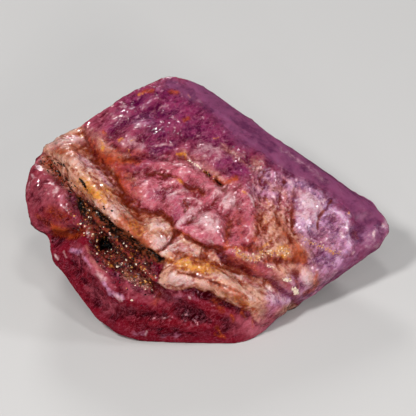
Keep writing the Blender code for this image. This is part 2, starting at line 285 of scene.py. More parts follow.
@dataclass(frozen=True)
class Zone:
    """A region of the board with its own relief and its own coats."""

    name: str
    outline: tuple[Spot, ...]
    edge: float  # half the width of the change at its outline
    reliefs: tuple[Relief, ...]
    coats: Mapping[Coat, float] = field(default_factory=dict)
    creased: float = 0.0  # how much stain gathers in its creases
    ridge_frost_and_highlight: float = 0.0  # how much of the pale coat, partly painted highlight, shows on its ridges
    wet: float = 0.5  # how much of it glints

    def share(self, places: Array) -> Array:
        """How far each place belongs to the zone.

        Args:
            places: RIGHT and UP of each place, in millimetres.

        Returns:
            1 well inside the outline and 0 well outside it.
        """
        inside = np.zeros(len(places), dtype=bool)
        gaps = np.full(len(places), np.inf)
        for start, end in zip(self.outline, self.outline[1:] + self.outline[:1]):
            gaps = np.minimum(gaps, gap(places, start, end))
            level = (start[1] > places[:, 1]) != (end[1] > places[:, 1])
            rise = (end[1] - start[1]) or 1e-9
            crossing = start[0] + (end[0] - start[0]) * (places[:, 1] - start[1]) / rise
            inside ^= level & (places[:, 0] < crossing)
        return smooth_step(-self.edge, self.edge, np.where(inside, gaps, -gaps))

    def relief(self, spots: Array) -> Array:
        """The height of all its layers of relief at each spot."""
        return sum(layer.over(spots) for layer in self.reliefs)

    def gathers(self, coat: Coat) -> float:
        """How much of a coat gathers in its creases or on its ridges; what gathers on ridges is partly
        painted highlight.
        """
        return {Coat.STAIN: self.creased, Coat.FROST_AND_HIGHLIGHT: self.ridge_frost_and_highlight}.get(coat, 0.0)


# The layout of the front

UPPER_RELIEF = (
    Relief(Grain.SWELL, 0.14, 1.6, 3.0, 40.0, 10),
    Relief(Grain.SCALLOP, 0.09, 0.80, 1.3, 25.0, 11),
    Relief(Grain.SCALLOP, 0.06, 0.40, 0.62, 50.0, 12),
    Relief(Grain.SWELL, 0.03, 0.26, 0.34, 0.0, 13),
)
LOBE_RELIEF = (
    Relief(Grain.LUMP, 0.26, 1.5, 2.4, 40.0, 15),
    Relief(Grain.SWELL, 0.10, 0.50, 1.5, 55.0, 16),
    Relief(Grain.SCALLOP, 0.05, 0.34, 0.8, 52.0, 17),
)
UPRIGHT_RELIEF = (
    Relief(Grain.SCALLOP, 0.18, 0.75, 2.2, 84.0, 18),
    Relief(Grain.SWELL, 0.14, 0.38, 0.9, 78.0, 19),
    Relief(Grain.SCALLOP, 0.05, 0.24, 0.40, 80.0, 20),
)
TIP_RELIEF = (
    Relief(Grain.SCALLOP, 0.16, 1.1, 1.8, -50.0, 25),
    Relief(Grain.SWELL, 0.10, 0.60, 1.2, -60.0, 26),
    Relief(Grain.SCALLOP, 0.03, 0.30, 0.50, 10.0, 27),
)
LEDGE_RELIEF = (
    Relief(Grain.LUMP, 0.26, 1.2, 1.5, -42.0, 21),
    Relief(Grain.SCALLOP, 0.16, 0.60, 1.1, 35.0, 22),
    Relief(Grain.SWELL, 0.04, 0.26, 0.50, 60.0, 23),
)
TOE_RELIEF = (
    Relief(Grain.SWELL, 0.22, 1.4, 2.8, -25.0, 31),
    Relief(Grain.SCALLOP, 0.08, 0.70, 1.2, -30.0, 32),
    Relief(Grain.SWELL, 0.03, 0.34, 0.6, -20.0, 33),
)
CRUST_RELIEF = (
    Relief(Grain.LUMP, 0.24, 0.60, 0.75, -40.0, 41),
    Relief(Grain.LUMP, 0.20, 0.26, 0.30, 10.0, 42),
)
GROWN_RELIEF = (
    Relief(Grain.SWELL, 0.07, 0.9, 3.2, -34.0, 51),
    Relief(Grain.SWELL, 0.02, 0.35, 0.9, -34.0, 52),
)
HIDDEN_RELIEF = (
    Relief(Grain.SCALLOP, 0.80, 3.4, 5.0, 20.0, 61),
    Relief(Grain.SCALLOP, 0.34, 1.4, 2.2, -30.0, 62),
    Relief(Grain.SWELL, 0.09, 0.45, 3.6, 35.0, 63),
    Relief(Grain.SCALLOP, 0.05, 0.50, 0.8, 10.0, 64),
)
HIDDEN = Zone("hidden sides", (), 0.0, HIDDEN_RELIEF, creased=0.40, ridge_frost_and_highlight=0.12, wet=0.48)

ZONES = (
    Zone(
        "upper",
        corners(
            -160, 235, -126, 218, -122, 200, -114, 186, -102, 175, -91, 164, -85, 149, -76, 136, -60, 132,
            -44, 130, -36, 122, -30, 111, -10, 102, 10, 91, 26, 79, 50, 68, 70, 56, 90, 40, 200, 90, 200, 140,
            -40, 285,
        ),
        edge=0.30, reliefs=UPPER_RELIEF, coats={Coat.ROSE: 0.40, Coat.PURPLE: 0.30},
        creased=0.35, ridge_frost_and_highlight=0.08, wet=0.34,
    ),
    Zone(
        "lobes",
        corners(
            -86, 160, -60, 176, -34, 188, -16, 178, 4, 168, 26, 164, 40, 156, 48, 130, 46, 104, 28, 90,
            10, 91, -10, 102, -30, 111, -36, 122, -44, 130, -60, 132, -76, 136,
        ),
        edge=0.50, reliefs=LOBE_RELIEF, coats={Coat.ROSE: 0.85}, creased=0.45, ridge_frost_and_highlight=0.22, wet=0.45,
    ),
    Zone(
        "upright folds",
        corners(
            44, 184, 72, 174, 90, 162, 88, 120, 94, 90, 80, 66, 54, 74, 28, 86, 44, 104, 48, 130, 40, 156,
        ),
        edge=0.60, reliefs=UPRIGHT_RELIEF, coats={Coat.ROSE: 0.62, Coat.PEACH: 0.30},
        creased=0.55, ridge_frost_and_highlight=0.10, wet=0.55,
    ),
    Zone(
        "tip",
        corners(90, 168, 200, 140, 200, 90, 90, 35, 82, 56, 80, 66, 94, 90, 88, 120),
        edge=0.60, reliefs=TIP_RELIEF, coats={Coat.ROSE: 0.40, Coat.LILAC: 0.50, Coat.PURPLE: 0.20},
        creased=0.20, ridge_frost_and_highlight=0.25, wet=0.40,
    ),
    Zone(
        "tip end",
        corners(140, 138, 149, 124, 150, 108, 144, 94, 130, 80, 120, 50, 200, 80, 200, 140),
        edge=0.70, reliefs=GROWN_RELIEF,
        coats={Coat.GROWN: 0.55, Coat.LILAC: 0.30, Coat.ROSE: 0.0, Coat.PURPLE: 0.35},
        creased=0.0, ridge_frost_and_highlight=0.0, wet=0.30,
    ),
    Zone(
        "grown",
        corners(
            -26, 280, -19, 252, -6, 236, 10, 223, 24, 208, 36, 197, 50, 191, 65, 179, 80, 170, 96, 163,
            110, 158, 126, 145, 140, 134, 148, 123, 160, 118, 195, 125, 120, 200,
        ),
        edge=1.10, reliefs=GROWN_RELIEF, coats={Coat.GROWN: 1.0, Coat.ROSE: 0.0},
    ),
    Zone(
        "ledge",
        corners(
            -176, 202, -154, 182, -141, 164, -130, 149, -120, 140, -110, 132, -102, 127, -95, 120, -86, 112,
            -78, 106, -70, 100, -62, 96, -52, 87, -45, 82, -50, 70, -51, 61, -42, 55, -30, 53, -15, 56, 0, 53,
            10, 47, 22, 40, 40, 32, 52, 16, 92, 36, 80, 47, 70, 56, 60, 63, 40, 71, 20, 80, 10, 88, 0, 98,
            -20, 107, -30, 111, -38, 125, -45, 131, -60, 132, -74, 134, -84, 145, -90, 164, -102, 176,
            -115, 188, -124, 204, -129, 224, -160, 220,
        ),
        edge=0.40, reliefs=LEDGE_RELIEF, coats={Coat.PEACH: 0.95, Coat.ROSE: 0.0},
        creased=0.75, ridge_frost_and_highlight=0.26, wet=0.80,
    ),
    Zone(
        "slab",
        corners(
            6, 95, 15, 91, 25, 90, 40, 83, 55, 78, 70, 69, 84, 59, 90, 50, 84, 44, 70, 55, 60, 63, 40, 70,
            20, 79, 10, 87,
        ),
        edge=0.25, reliefs=GROWN_RELIEF,
        coats={Coat.PEACH: 0.20, Coat.LILAC: 0.15, Coat.ROSE: 0.30, Coat.STAIN: 0.52},
    ),
    # The toe's wine red is deepened as painted shade, where the toe faces down and away from the lights.
    Zone(
        "toe",
        corners(
            -166, 110, -145, 110, -130, 112, -122, 108, -118, 96, -112, 84, -104, 74, -90, 66, -76, 56,
            -64, 50, -52, 52, -42, 55, -30, 53, -15, 56, 0, 53, 10, 47, 22, 40, 40, 32, 52, 16, 50, -20,
            -100, -20, -170, 60,
        ),
        edge=0.25, reliefs=TOE_RELIEF, coats={Coat.WINE: 0.50, Coat.ROSE: 0.14, Coat.PURPLE: 0.14},
        creased=0.10, ridge_frost_and_highlight=0.06, wet=-0.40,
    ),
    Zone(
        "heel",
        corners(
            -190, 200, -176, 200, -154, 182, -141, 164, -132, 152, -125, 138, -127, 122, -123, 110, -130, 113,
            -145, 111, -166, 111, -190, 120,
        ),
        edge=0.30, reliefs=TOE_RELIEF,
        coats={Coat.WINE: 0.45, Coat.ROSE: 0.34, Coat.PEACH: 0.06, Coat.STAIN: 0.06},
        creased=0.30, ridge_frost_and_highlight=0.12, wet=0.50,
    ),
    Zone(
        "crust",
        corners(
            -132, 152, -125, 138, -127, 122, -123, 110, -120, 100, -116, 90, -108, 80, -100, 75, -90, 69,
            -80, 64, -70, 58, -60, 50, -52, 50, -50, 70, -43, 82, -50, 88, -58, 95, -70, 102, -85, 113,
            -100, 126, -114, 136, -123, 149,
        ),
        edge=0.55, reliefs=CRUST_RELIEF, coats={Coat.CRUST: 0.56},
    ),
)

# The marks of each coat. One below zero wipes the coat off, and one that rises is raised or sunk too.
MARKS: Mapping[Coat, tuple[Mark, ...]] = {
    Coat.WINE: strokes(
        (90, 0, 130, -72, 28, -48, 25, -16, 27, 12, 34), (60, 0, 90, -130, 74, -114, 50),
        (80, 0, 100, -162, 132, -142, 128), (80, 0, 80, -154, 114, -138, 110), (70, 0, 90, 30, 126, 34, 112),
    ),
    Coat.PURPLE: strokes(
        (75, 0, 260, -70, 236, -30, 236, 10, 206), (55, 0, 140, -48, 210, -56, 204),
        (60, 0, 130, 30, 184, 54, 170, 76, 158), (60, 0, 100, 126, 146, 152, 124, 166, 108),
        (55, 0, 90, 118, 84, 128, 80), (45, 0, 80, -30, 122, -32, 146, -54, 150),
        # hollows
        (90, -5, 46, -74, 241, -62, 243), (90, -6, 48, -50, 253, -40, 250),
        (100, -7, 41, -48, 229, -36, 232, -29, 239), (80, -5, 57, -96, 216, -90, 220, -84, 225),
        (80, -5, 57, -53, 219, -46, 212), (80, -4, 44, -22, 216, -17, 212),
        (90, -5, 34, -56, 193, -42, 195, -35, 200), (90, -4, 32, 11, 179, 20, 184, 29, 191),
        (80, -3, 46, 28, 171, 36, 174), (80, -4, 34, 49, 170, 55, 162, 62, 157),
        (80, -3, 28, 69, 153, 70, 142, 71, 134), (100, -7, 39, 147, 114, 150, 106),
        (90, -4, 48, 116, 85, 123, 80), (80, -3, 28, 166, 113, 163, 102), (12, 0, 90, -134, 126, -130, 134),
    ),
    Coat.ROSE: strokes(
        (-50, 0, 90, -160, 129, -140, 127), (26, 0, 90, 28, 20, 44, 12, 52, 16),
        (80, 0, 120, 68, 40, 60, 26, 50, 18), (40, 0, 60, 50, 74, 70, 60, 84, 50),
        (60, 0, 100, 18, 150, 22, 140), (34, 5, 50, -126, 92, -112, 74, -98, 58),
        (42, 0, 80, -76, 58, -56, 50, -32, 49), (30, 0, 50, -116, 56, -98, 36, -80, 34),
        (60, 10, 110, -14, 118, 4, 124, 8, 110), (50, 0, 150, -50, 150, -24, 144, 16, 144, 30, 120),
        (35, 0, 160, -26, 174, 4, 186), (30, 0, 140, -96, 226, -74, 210, -58, 198),
        (40, 0, 80, 94, 68, 102, 60), (35, 0, 100, -160, 154, -148, 146),
        (26, 0, 50, -132, 94, -120, 82, -108, 68),
    ),
    Coat.LILAC: strokes(
        (22, 0, 70, 64, 42, 62, 30), (-35, 0, 100, 104, 112, 118, 104), (70, 0, 90, 62, 50, 76, 46),
        (30, 0, 60, -36, 66, -24, 64), (40, 0, 50, -6, 89, 8, 83), (25, 0, 80, -48, 260, -32, 260),
        (140, 5, 120, 94, 150, 104, 136, 102, 124), (30, 0, 90, 108, 120, 126, 114, 128, 102),
        (95, 5, 30, 120, 139, 130, 134, 139, 124, 142, 112, 142, 102, 137, 93),
        (40, 0, 70, 154, 106, 164, 110, 174, 116), (60, 0, 50, 64, 52, 72, 48), (60, 0, 60, 122, 86, 134, 80),
        (60, 0, 70, 58, 170, 80, 162), (55, 0, 80, 46, 154, 66, 148),
        (75, 0, 55, -134, 192, -119, 179, -106, 166, -96, 158), (60, 3, 30, -136, 94, -128, 92),
        (45, 5, 24, -123, 87, -117, 79), (60, 5, 20, -104, 61, -99, 55), (25, 0, 55, -146, 148, -134, 144),
        (50, 4, 32, -97, 51, -87, 47), (22, 3, 40, -32, 45, -22, 48, -12, 45), (24, 0, 36, -74, 12, -62, 12),
        (22, 0, 40, -46, 8, -28, 10), (60, 0, 45, 2, 88, 6, 85), (60, 0, 80, 64, 54, 74, 46),
        (30, 0, 80, -70, 222, -56, 226),
    ),
    Coat.PEACH: strokes(
        (-40, 0, 42, -130, 189, -114, 176, -102, 164, -94, 154), (-85, 0, 110, 66, 38, 60, 24, 54, 16),
        (-50, 0, 80, 76, 46, 86, 42), (-40, 0, 70, 62, 50, 74, 44), (-60, 0, 90, 86, 92, 92, 86),
        (70, 0, 60, 58, 92, 70, 96, 80, 92), (40, 0, 40, 28, 94, 38, 87, 52, 88),
        (85, 0, 75, -162, 182, -149, 173, -138, 162), (60, 6, 60, -108, 198, -99, 193),
        (55, 6, 50, -90, 188, -82, 186), (50, 6, 45, -80, 169, -74, 164), (45, 4, 50, -96, 176),
        (50, 0, 90, -80, 69, -64, 59), (40, 0, 90, -122, 212, -106, 206),
        (40, 0, 80, -26, 190, -6, 180, 14, 162), (55, 0, 140, 64, 126, 80, 108, 94, 92),
        (45, 0, 90, 52, 120, 62, 106), (60, 0, 90, 72, 72, 94, 76, 106, 64),
        (35, 0, 80, 16, 198, 38, 182, 52, 182), (45, 0, 80, -154, 184, -142, 172, -132, 160),
        (30, 0, 45, -120, 96, -114, 82, -106, 70),
    ),
    Coat.GROWN: strokes(
        (80, 0, 75, -39, 262, -28, 257, -17, 248),
    ),
    # Pale frosty flaws, partly painted highlights and glints on ridges, folds, chips and the crack
    Coat.FROST_AND_HIGHLIGHT: strokes(
        # the ledge's rim and folds
        (80, 4, 10, -125, 187, -110, 177, -95, 163, -89, 152), (60, 0, 20, -56, 114, -50, 119, -42, 119),
        (60, 0, 16, -50, 96, -44, 99, -39, 104), (60, 0, 14, -43, 93, -36, 94, -30, 98),
        (60, 0, 14, -26, 99, -22, 93, -20, 89), (60, 0, 14, -16, 96, -12, 90, -6, 88),
        (60, 0, 16, -99, 146, -97, 136, -92, 128), (55, 0, 14, -88, 138, -82, 129),
        # arcs and clouds
        (60, 0, 12, 122, 138, 131, 132, 139, 122, 142, 112, 141, 102), (65, 0, 50, -54, 102, -44, 98),
        (60, 0, 60, 62, 52, 74, 46), (50, 0, 90, 94, 150, 104, 132), (50, 0, 50, -36, 98, -22, 96),
        (80, 0, 90, -9, 125, 4, 119), (100, 0, 80, 15, 152, 23, 142),
        (55, 0, 50, 90, 152, 102, 144, 114, 136), (55, 0, 40, 90, 140, 106, 132),
        (50, 0, 40, 92, 128, 110, 124), (45, 0, 40, 96, 118, 114, 112), (45, 0, 80, -82, 202, -70, 198),
        (40, 0, 90, -8, 196, 8, 192), (50, 0, 70, 96, 68, 100, 60), (50, 0, 70, -36, 66, -22, 62),
        (45, 0, 60, -102, 142, -92, 132), (40, 0, 70, -128, 186, -118, 176),
        (30, 0, 35, 74, 194, 96, 180, 120, 164),
        # pale lumps and glassy chips
        (130, 4, 40, -155, 198, -149, 202), (130, 4, 44, -140, 205, -129, 203),
        (56, 4, 20, -102, 146, -103, 140, -100, 135), (72, 4, 22, -40, 147, -32, 151, -22, 154),
        (60, 4, 18, -22, 145, -14, 144, -8, 140), (64, 4, 26, -14, 134, -22, 128, -32, 116),
        (76, 4, 34, -12, 122, -2, 129, 3, 120), (80, 4, 17, 9, 124, 10, 116), (72, 4, 18, 0, 106, 4, 102),
        (72, 4, 17, 18, 137, 21, 140), (76, 4, 36, 89, 154, 98, 149, 106, 142),
        (72, 4, 26, 88, 130, 96, 129, 102, 134), (64, 4, 20, 112, 136, 114, 132),
        (64, 4, 20, 111, 142, 118, 144), (64, 4, 20, 76, 167, 83, 162),
        (64, 3, 14, 40, 152, 44, 146, 46, 138), (64, 3, 15, 50, 177, 54, 176),
        (56, 3, 22, 133, 113, 134, 108), (72, 4, 16, 128, 88), (64, 4, 16, 146, 92, 145, 90),
        (64, 4, 15, 168, 111, 168, 108), (64, 2, 14, 176, 120, 177, 116), (72, 3, 20, 88, 54, 90, 50),
        (64, 3, 22, 77, 65, 84, 63), (64, 3, 14, 60, 78, 63, 77), (110, 5, 26, -9, 177, -13, 180),
        (70, 3, 14, -15, 183, -22, 188),
        # the upper face
        (64, 3, 14, -34, 217), (64, 3, 13, -52, 213), (64, 3, 13, -53, 205), (64, 3, 13, -10, 208),
        (64, 3, 15, -87, 237, -85, 238), (64, 3, 15, -48, 188, -44, 188), (64, 3, 15, -5, 187, -2, 188),
        (56, 3, 18, -52, 197, -44, 199, -36, 200), (28, 4, 20, -97, 230, -80, 228),
        (28, 4, 20, -72, 220, -62, 218), (28, 4, 17, -70, 228, -64, 238), (28, 4, 20, -56, 233, -42, 240),
        # the ledge's pale ridges
        (48, 4, 30, -56, 120, -48, 124, -44, 116), (68, 4, 34, -56, 102, -48, 106, -40, 104),
        (60, 4, 24, -46, 92, -36, 99, -30, 106), (60, 4, 22, -28, 102, -22, 96),
        (52, 4, 22, -18, 100, -9, 93), (64, 4, 30, -36, 68, -28, 64, -16, 61), (52, 4, 22, -12, 62, 2, 58),
        (64, 4, 26, 26, 69, 38, 64, 48, 56), (48, 4, 26, 6, 72, 18, 66), (48, 4, 24, 34, 52, 44, 44),
        (68, 4, 15, 51, 62, 53, 61), (68, 4, 15, 58, 57),
        # the toe's rim, the toe and the heel
        (68, 4, 30, -110, 70, -104, 64), (56, 4, 26, -93, 49, -88, 45), (64, 3, 15, -143, 93, -142, 87),
        (64, 3, 15, -150, 85, -152, 88), (64, 3, 15, -175, 170, -175, 167), (64, 3, 17, -155, 152, -151, 155),
        (64, 3, 13, -161, 151), (64, 3, 13, -155, 147), (56, 3, 13, -19, 46, -17, 44),
        (56, 3, 15, -62, 11, -61, 13),
    ),
    Coat.STAIN: strokes(
        # rust on the toe
        (80, 0, 20, 32, 40, 36, 39, 34, 32, 38, 27), (70, 0, 26, 23, 29, 25, 23), (70, 0, 18, 45, 24, 46, 16),
        (62, 0, 22, 10, 16, 13, 12, 17, 7), (60, 0, 16, 8, 9, 13, 8),
        # broad stains
        (-40, 0, 60, 54, 76, 70, 64, 84, 52), (45, 0, 80, -156, 132, -144, 128),
        (50, 0, 50, 2, 64, 14, 56, 30, 46), (55, 0, 60, -86, 124, -72, 114, -60, 100),
        (50, 0, 50, -36, 90, -14, 86, 6, 80), (40, 0, 40, -66, 116, -58, 110),
        (80, 0, 80, -84, 122, -72, 112, -62, 102), (70, 0, 90, -152, 196, -136, 194),
        (40, 0, 50, -154, 114, -136, 110), (45, 0, 90, 30, 126, 34, 112), (50, 0, 80, 84, 94, 92, 86),
        (45, 0, 70, -92, 194, -64, 190), (40, 0, 50, -106, 132, -100, 136, -96, 146),
        (55, 0, 150, -104, 189, -88, 172, -74, 150), (50, 0, 70, -120, 206, -114, 194, -104, 184),
        # the seam between the ledge and the upper face
        (55, -3, 50, -126, 200, -122, 193), (60, -4, 40, -114, 183, -109, 178, -100, 172),
        (80, -8, 45, -91, 166, -89, 156, -86, 150, -81, 142, -77, 141),
        (90, -10, 30, -76, 134, -68, 131, -55, 132, -45, 131, -38, 125, -32, 112),
        (90, -8, 24, -32, 112, -20, 107, -10, 103, 0, 98, 10, 92),
        # cracks and folds of the middle
        (85, -16, 17, -30, 110, -38, 103, -46, 96, -50, 92),
        (70, -10, 20, -62, 169, -52, 170, -39, 169, -29, 165, -20, 158, -10, 155, -6, 149),
        (60, 0, 45, -16, 154, -6, 150), (70, -10, 18, -24, 142, -20, 136, -23, 132),
        (80, 0, 40, 6, 164, 16, 160, 28, 165), (70, 0, 34, 21, 124, 20, 110, 16, 98),
        (80, -10, 30, 4, 99, 14, 96, 24, 98), (70, 0, 50, 30, 97, 44, 96, 52, 94),
        (60, 0, 60, 48, 126, 52, 114, 46, 104),
        # the upright folds and the tip
        (70, 0, 60, 68, 124, 76, 112, 88, 96, 96, 86), (75, 0, 40, 58, 83, 74, 82, 94, 86),
        (60, 0, 30, 86, 156, 85, 140, 86, 122), (70, -8, 16, 124, 144, 119, 135, 112, 128, 110, 116),
        (70, 0, 30, 109, 72, 110, 62, 105, 54, 96, 50), (60, 0, 26, 92, 74, 89, 64, 90, 56),
        # spots on the upper face
        (80, 0, 24, -66, 253, -56, 255), (80, 0, 30, -38, 253, -32, 252), (80, 0, 28, -25, 225, -20, 227),
        (80, 0, 16, -105, 214, -103, 211), (70, 0, 30, -99, 187, -84, 184, -70, 183),
        # the ledge
        (80, 0, 50, -118, 152, -108, 146), (80, 0, 34, -72, 125, -70, 112), (95, -8, 12, -77, 122),
        (60, 0, 36, -82, 122, -74, 112), (70, -10, 22, -50, 86, -36, 82, -24, 87),
        (80, 0, 34, -34, 85, -16, 88, -4, 86), (75, -12, 20, -30, 72, -16, 69, -2, 66, 10, 61),
        (85, -10, 20, 4, 60, 18, 58, 30, 53, 38, 47), (75, -10, 20, 10, 80, 22, 74, 32, 70),
        (80, 0, 40, 29, 46, 36, 41), (45, 0, 40, 4, 46, 10, 42, 14, 34),
        # the heel and the toe
        (50, 0, 30, -172, 128, -160, 120, -146, 112), (70, 0, 50, -152, 112, -134, 108, -126, 114),
        (35, 0, 50, -150, 176, -140, 166, -132, 154), (50, 0, 50, -58, 66, -52, 54),
        (50, 0, 40, -46, 50, -54, 42),
    ),
    Coat.OCHRE: strokes(
        (55, 0, 90, -126, 162, -112, 150, -102, 144), (45, 0, 60, -76, 120, -68, 114),
        (50, 0, 50, -42, 83, -26, 82, -4, 80, 12, 75), (30, 0, 40, 12, 50, 26, 46, 42, 38),
        # the ochre lump and its seam
        (62, 7, 34, 69, 94, 76, 98, 79, 92), (60, 5, 30, 70, 89, 77, 87),
        (50, 3, 24, 28, 96, 31, 89, 37, 87, 46, 84, 52, 88, 58, 92, 63, 92), (68, 3, 24, 56, 98, 62, 103),
        (45, 2, 14, 99, 103, 103, 101), (60, 2, 20, 120, 93, 125, 92),
        # flakes
        (50, 2, 12, 65, 117, 66, 114), (68, 3, 14, 56, 128, 58, 122), (68, 3, 14, 59, 144, 60, 140),
        (68, 3, 16, 141, 133, 141, 130), (85, 4, 22, -31, 189, -25, 190, -22, 187),
        (85, 4, 17, -5, 173, -3, 171), (85, 4, 14, 5, 167), (68, 3, 22, -29, 164, -25, 161),
        (62, 2, 14, 5, 207, 9, 207), (60, 3, 13, -20, 250, -18, 248), (50, 2, 14, -22, 231),
        (50, 2, 13, -71, 250, -67, 251), (59, 3, 22, -89, 204, -86, 207), (59, 3, 18, -78, 204, -74, 205),
        (59, 3, 22, -108, 202, -105, 196), (68, 4, 17, -128, 214, -128, 209),
        (68, 4, 20, -133, 209, -130, 208), (59, 3, 15, -80, 195, -78, 190),
        # the ledge and the crust
        (55, 6, 50, -118, 156, -110, 150, -106, 154), (55, 6, 34, -104, 158, -99, 154),
        (120, 4, 42, -30, 81, -20, 78, -6, 75), (77, 4, 34, -4, 80, 0, 76), (59, 2, 16, 34, 154, 38, 151),
        (59, 2, 30, -80, 70, -72, 69), (51, 2, 20, -100, 79, -94, 78), (51, 2, 22, -78, 92, -74, 84),
    ),
    Coat.CRUST: strokes(
        (42, 0, 60, -150, 114, -138, 111), (-90, 0, 80, -86, 66, -66, 56), (-70, 0, 70, -50, 66, -50, 76),
        # the dark band along the undercut: crust, and a painted shadow under the ledge
        (100, -6, 42, -129, 148, -125, 136, -112, 132, -104, 127, -96, 120, -86, 112, -78, 106, -70, 100,
         -64, 97, -58, 93, -52, 88, -47, 84), (70, 0, 30, -129, 146, -126, 140, -126, 132),
        (50, 0, 20, -4, 99, 8, 94),
    ),
    # Black in pits, the crack and under the ledge is painted shade; at the ledge's upper end it marks black
    # flecks.
    Coat.PIT_SHADE_AND_FLECK: strokes(
        (100, -40, 50, -105, 101, -99, 98), (90, -20, 30, -102, 107, -106, 96),
        # the crack, its dark inside painted black as shade
        (100, -35, 12, -4, 173, 1, 168), (100, -35, 12, 8, 164, 13, 159),
        # under the ledge: a painted shadow
        (80, -10, 16, -128, 146, -125, 136), (80, -10, 15, -112, 133, -104, 128, -96, 121, -86, 113),
        (80, -10, 14, -78, 107, -70, 101), (80, -10, 14, -60, 95, -52, 89, -48, 85),
        # pits at the ledge's upper end
        (80, -6, 11, -168, 182, -165, 180), (70, -6, 10, -162, 187, -158, 186),
        (70, -6, 10, -154, 185, -151, 183), (80, -6, 11, -160, 179, -157, 175),
        (80, -6, 11, -150, 171, -148, 167), (70, -6, 11, -149, 180, -143, 178, -140, 175),
        (70, -6, 12, -144, 168, -141, 165, -144, 162), (70, -6, 12, -141, 160, -136, 156, -134, 153),
        (80, -8, 14, -129, 165, -126, 162, -122, 156),
        # pits in the crust, painted black as shade
        (70, 0, 10, -96, 72), (70, 0, 10, -69, 63), (80, 0, 12, -54, 50),
    ),
}

GLINTS = strokes(
    (60, 0, 70, -54, 215, -36, 208), (30, 0, 60, -96, 228, -82, 226), (25, 0, 50, -64, 238, -46, 236),
    (70, 0, 90, 16, 150, 24, 138), (70, 0, 80, -12, 124, 8, 118), (20, 0, 60, -56, 146, -40, 150, -24, 150),
    (60, 0, 60, -22, 136, -14, 130), (60, 0, 80, -158, 154, -150, 144), (50, 0, 30, -175, 172, -176, 156),
    (60, 0, 50, 166, 116, 168, 106), (60, 0, 50, 126, 88, 132, 86), (60, 0, 100, 94, 150, 106, 134, 100, 120),
    (50, 0, 50, -112, 72, -102, 60, -90, 48), (60, 0, 90, -56, 104, -40, 98, -26, 98),
    (60, 0, 60, -36, 66, -16, 62, 4, 59), (60, 0, 80, 24, 66, 42, 58), (60, 0, 60, -104, 144, -92, 130),
    (10, 0, 60, -148, 200, -130, 204), (40, 0, 70, 30, 192, 56, 176),
)

ROUNDED = strokes(
    (60, 0, 120, -62, 262, -46, 268, -30, 266), (100, 0, 140, 126, 156, 146, 144, 164, 128),
    (100, 0, 100, 34, 32, 46, 24, 56, 16), (50, 0, 100, 186, 120, 180, 106, 166, 96),
)


@dataclass(frozen=True)
class Spread:
    """How much of a coat there is on the hidden sides, and how it comes and goes over them."""

    amount: float
    change: float
    across: float  # millimetres
    seed: int

    def over(self, spots: Array) -> Array:
        """The amount at each place."""
        return self.amount + self.change * Lattice(self.seed).swell(spots / self.across)


SPREADS: Mapping[Coat, Spread] = {
    Coat.WINE: Spread(0.10, 1.2, 5.0, 90),
    Coat.PURPLE: Spread(0.20, 1.4, 4.0, 91),
    Coat.ROSE: Spread(0.35, 1.4, 3.2, 92),
    Coat.LILAC: Spread(0.00, 1.2, 3.6, 93),
    Coat.GROWN: Spread(0.10, 1.2, 6.0, 94),
    Coat.PEACH: Spread(-0.20, 1.2, 3.0, 95),
    Coat.STAIN: Spread(-0.10, 1.1, 3.4, 96),
}


# Shader nodes


class Sock:
    """An output socket that takes part in Python arithmetic by adding Math nodes."""

    def __init__(self, shader: "Shader", socket: bpy.types.NodeSocket) -> None:
        """Keeps the shader and the socket."""
        self.shader = shader
        self.socket = socket

    def beside(self, name: str) -> "Sock":
        """Another output of the same node."""
        return Sock(self.shader, self.socket.node.outputs[name])

    def _math(self, operation: str, *values: Any) -> "Sock":
        """A Math node on these values."""
        return self.shader.out("Math", {"operation": operation}, dict(enumerate(values)))

    def __add__(self, other: Any) -> "Sock":
        """self + other."""
        return self._math("ADD", self, other)

    def __radd__(self, other: Any) -> "Sock":
        """other + self."""
        return self._math("ADD", other, self)

    def __sub__(self, other: Any) -> "Sock":
        """self - other."""
        return self._math("SUBTRACT", self, other)

    def __rsub__(self, other: Any) -> "Sock":
        """other - self."""
        return self._math("SUBTRACT", other, self)

    def __mul__(self, other: Any) -> "Sock":
        """self * other."""
        return self._math("MULTIPLY", self, other)

    def __rmul__(self, other: Any) -> "Sock":
        """other * self."""
        return self._math("MULTIPLY", other, self)

    def __abs__(self) -> "Sock":
        """The size of self."""
        return self._math("ABSOLUTE", self)

    def step(self, low: float, high: float) -> "Sock":
        """0 below low, 1 above high, and an S between them."""
        sockets = {"Value": self, "From Min": low, "From Max": high}
        return self.shader.out("MapRange", {"interpolation_type": "SMOOTHSTEP"}, sockets)


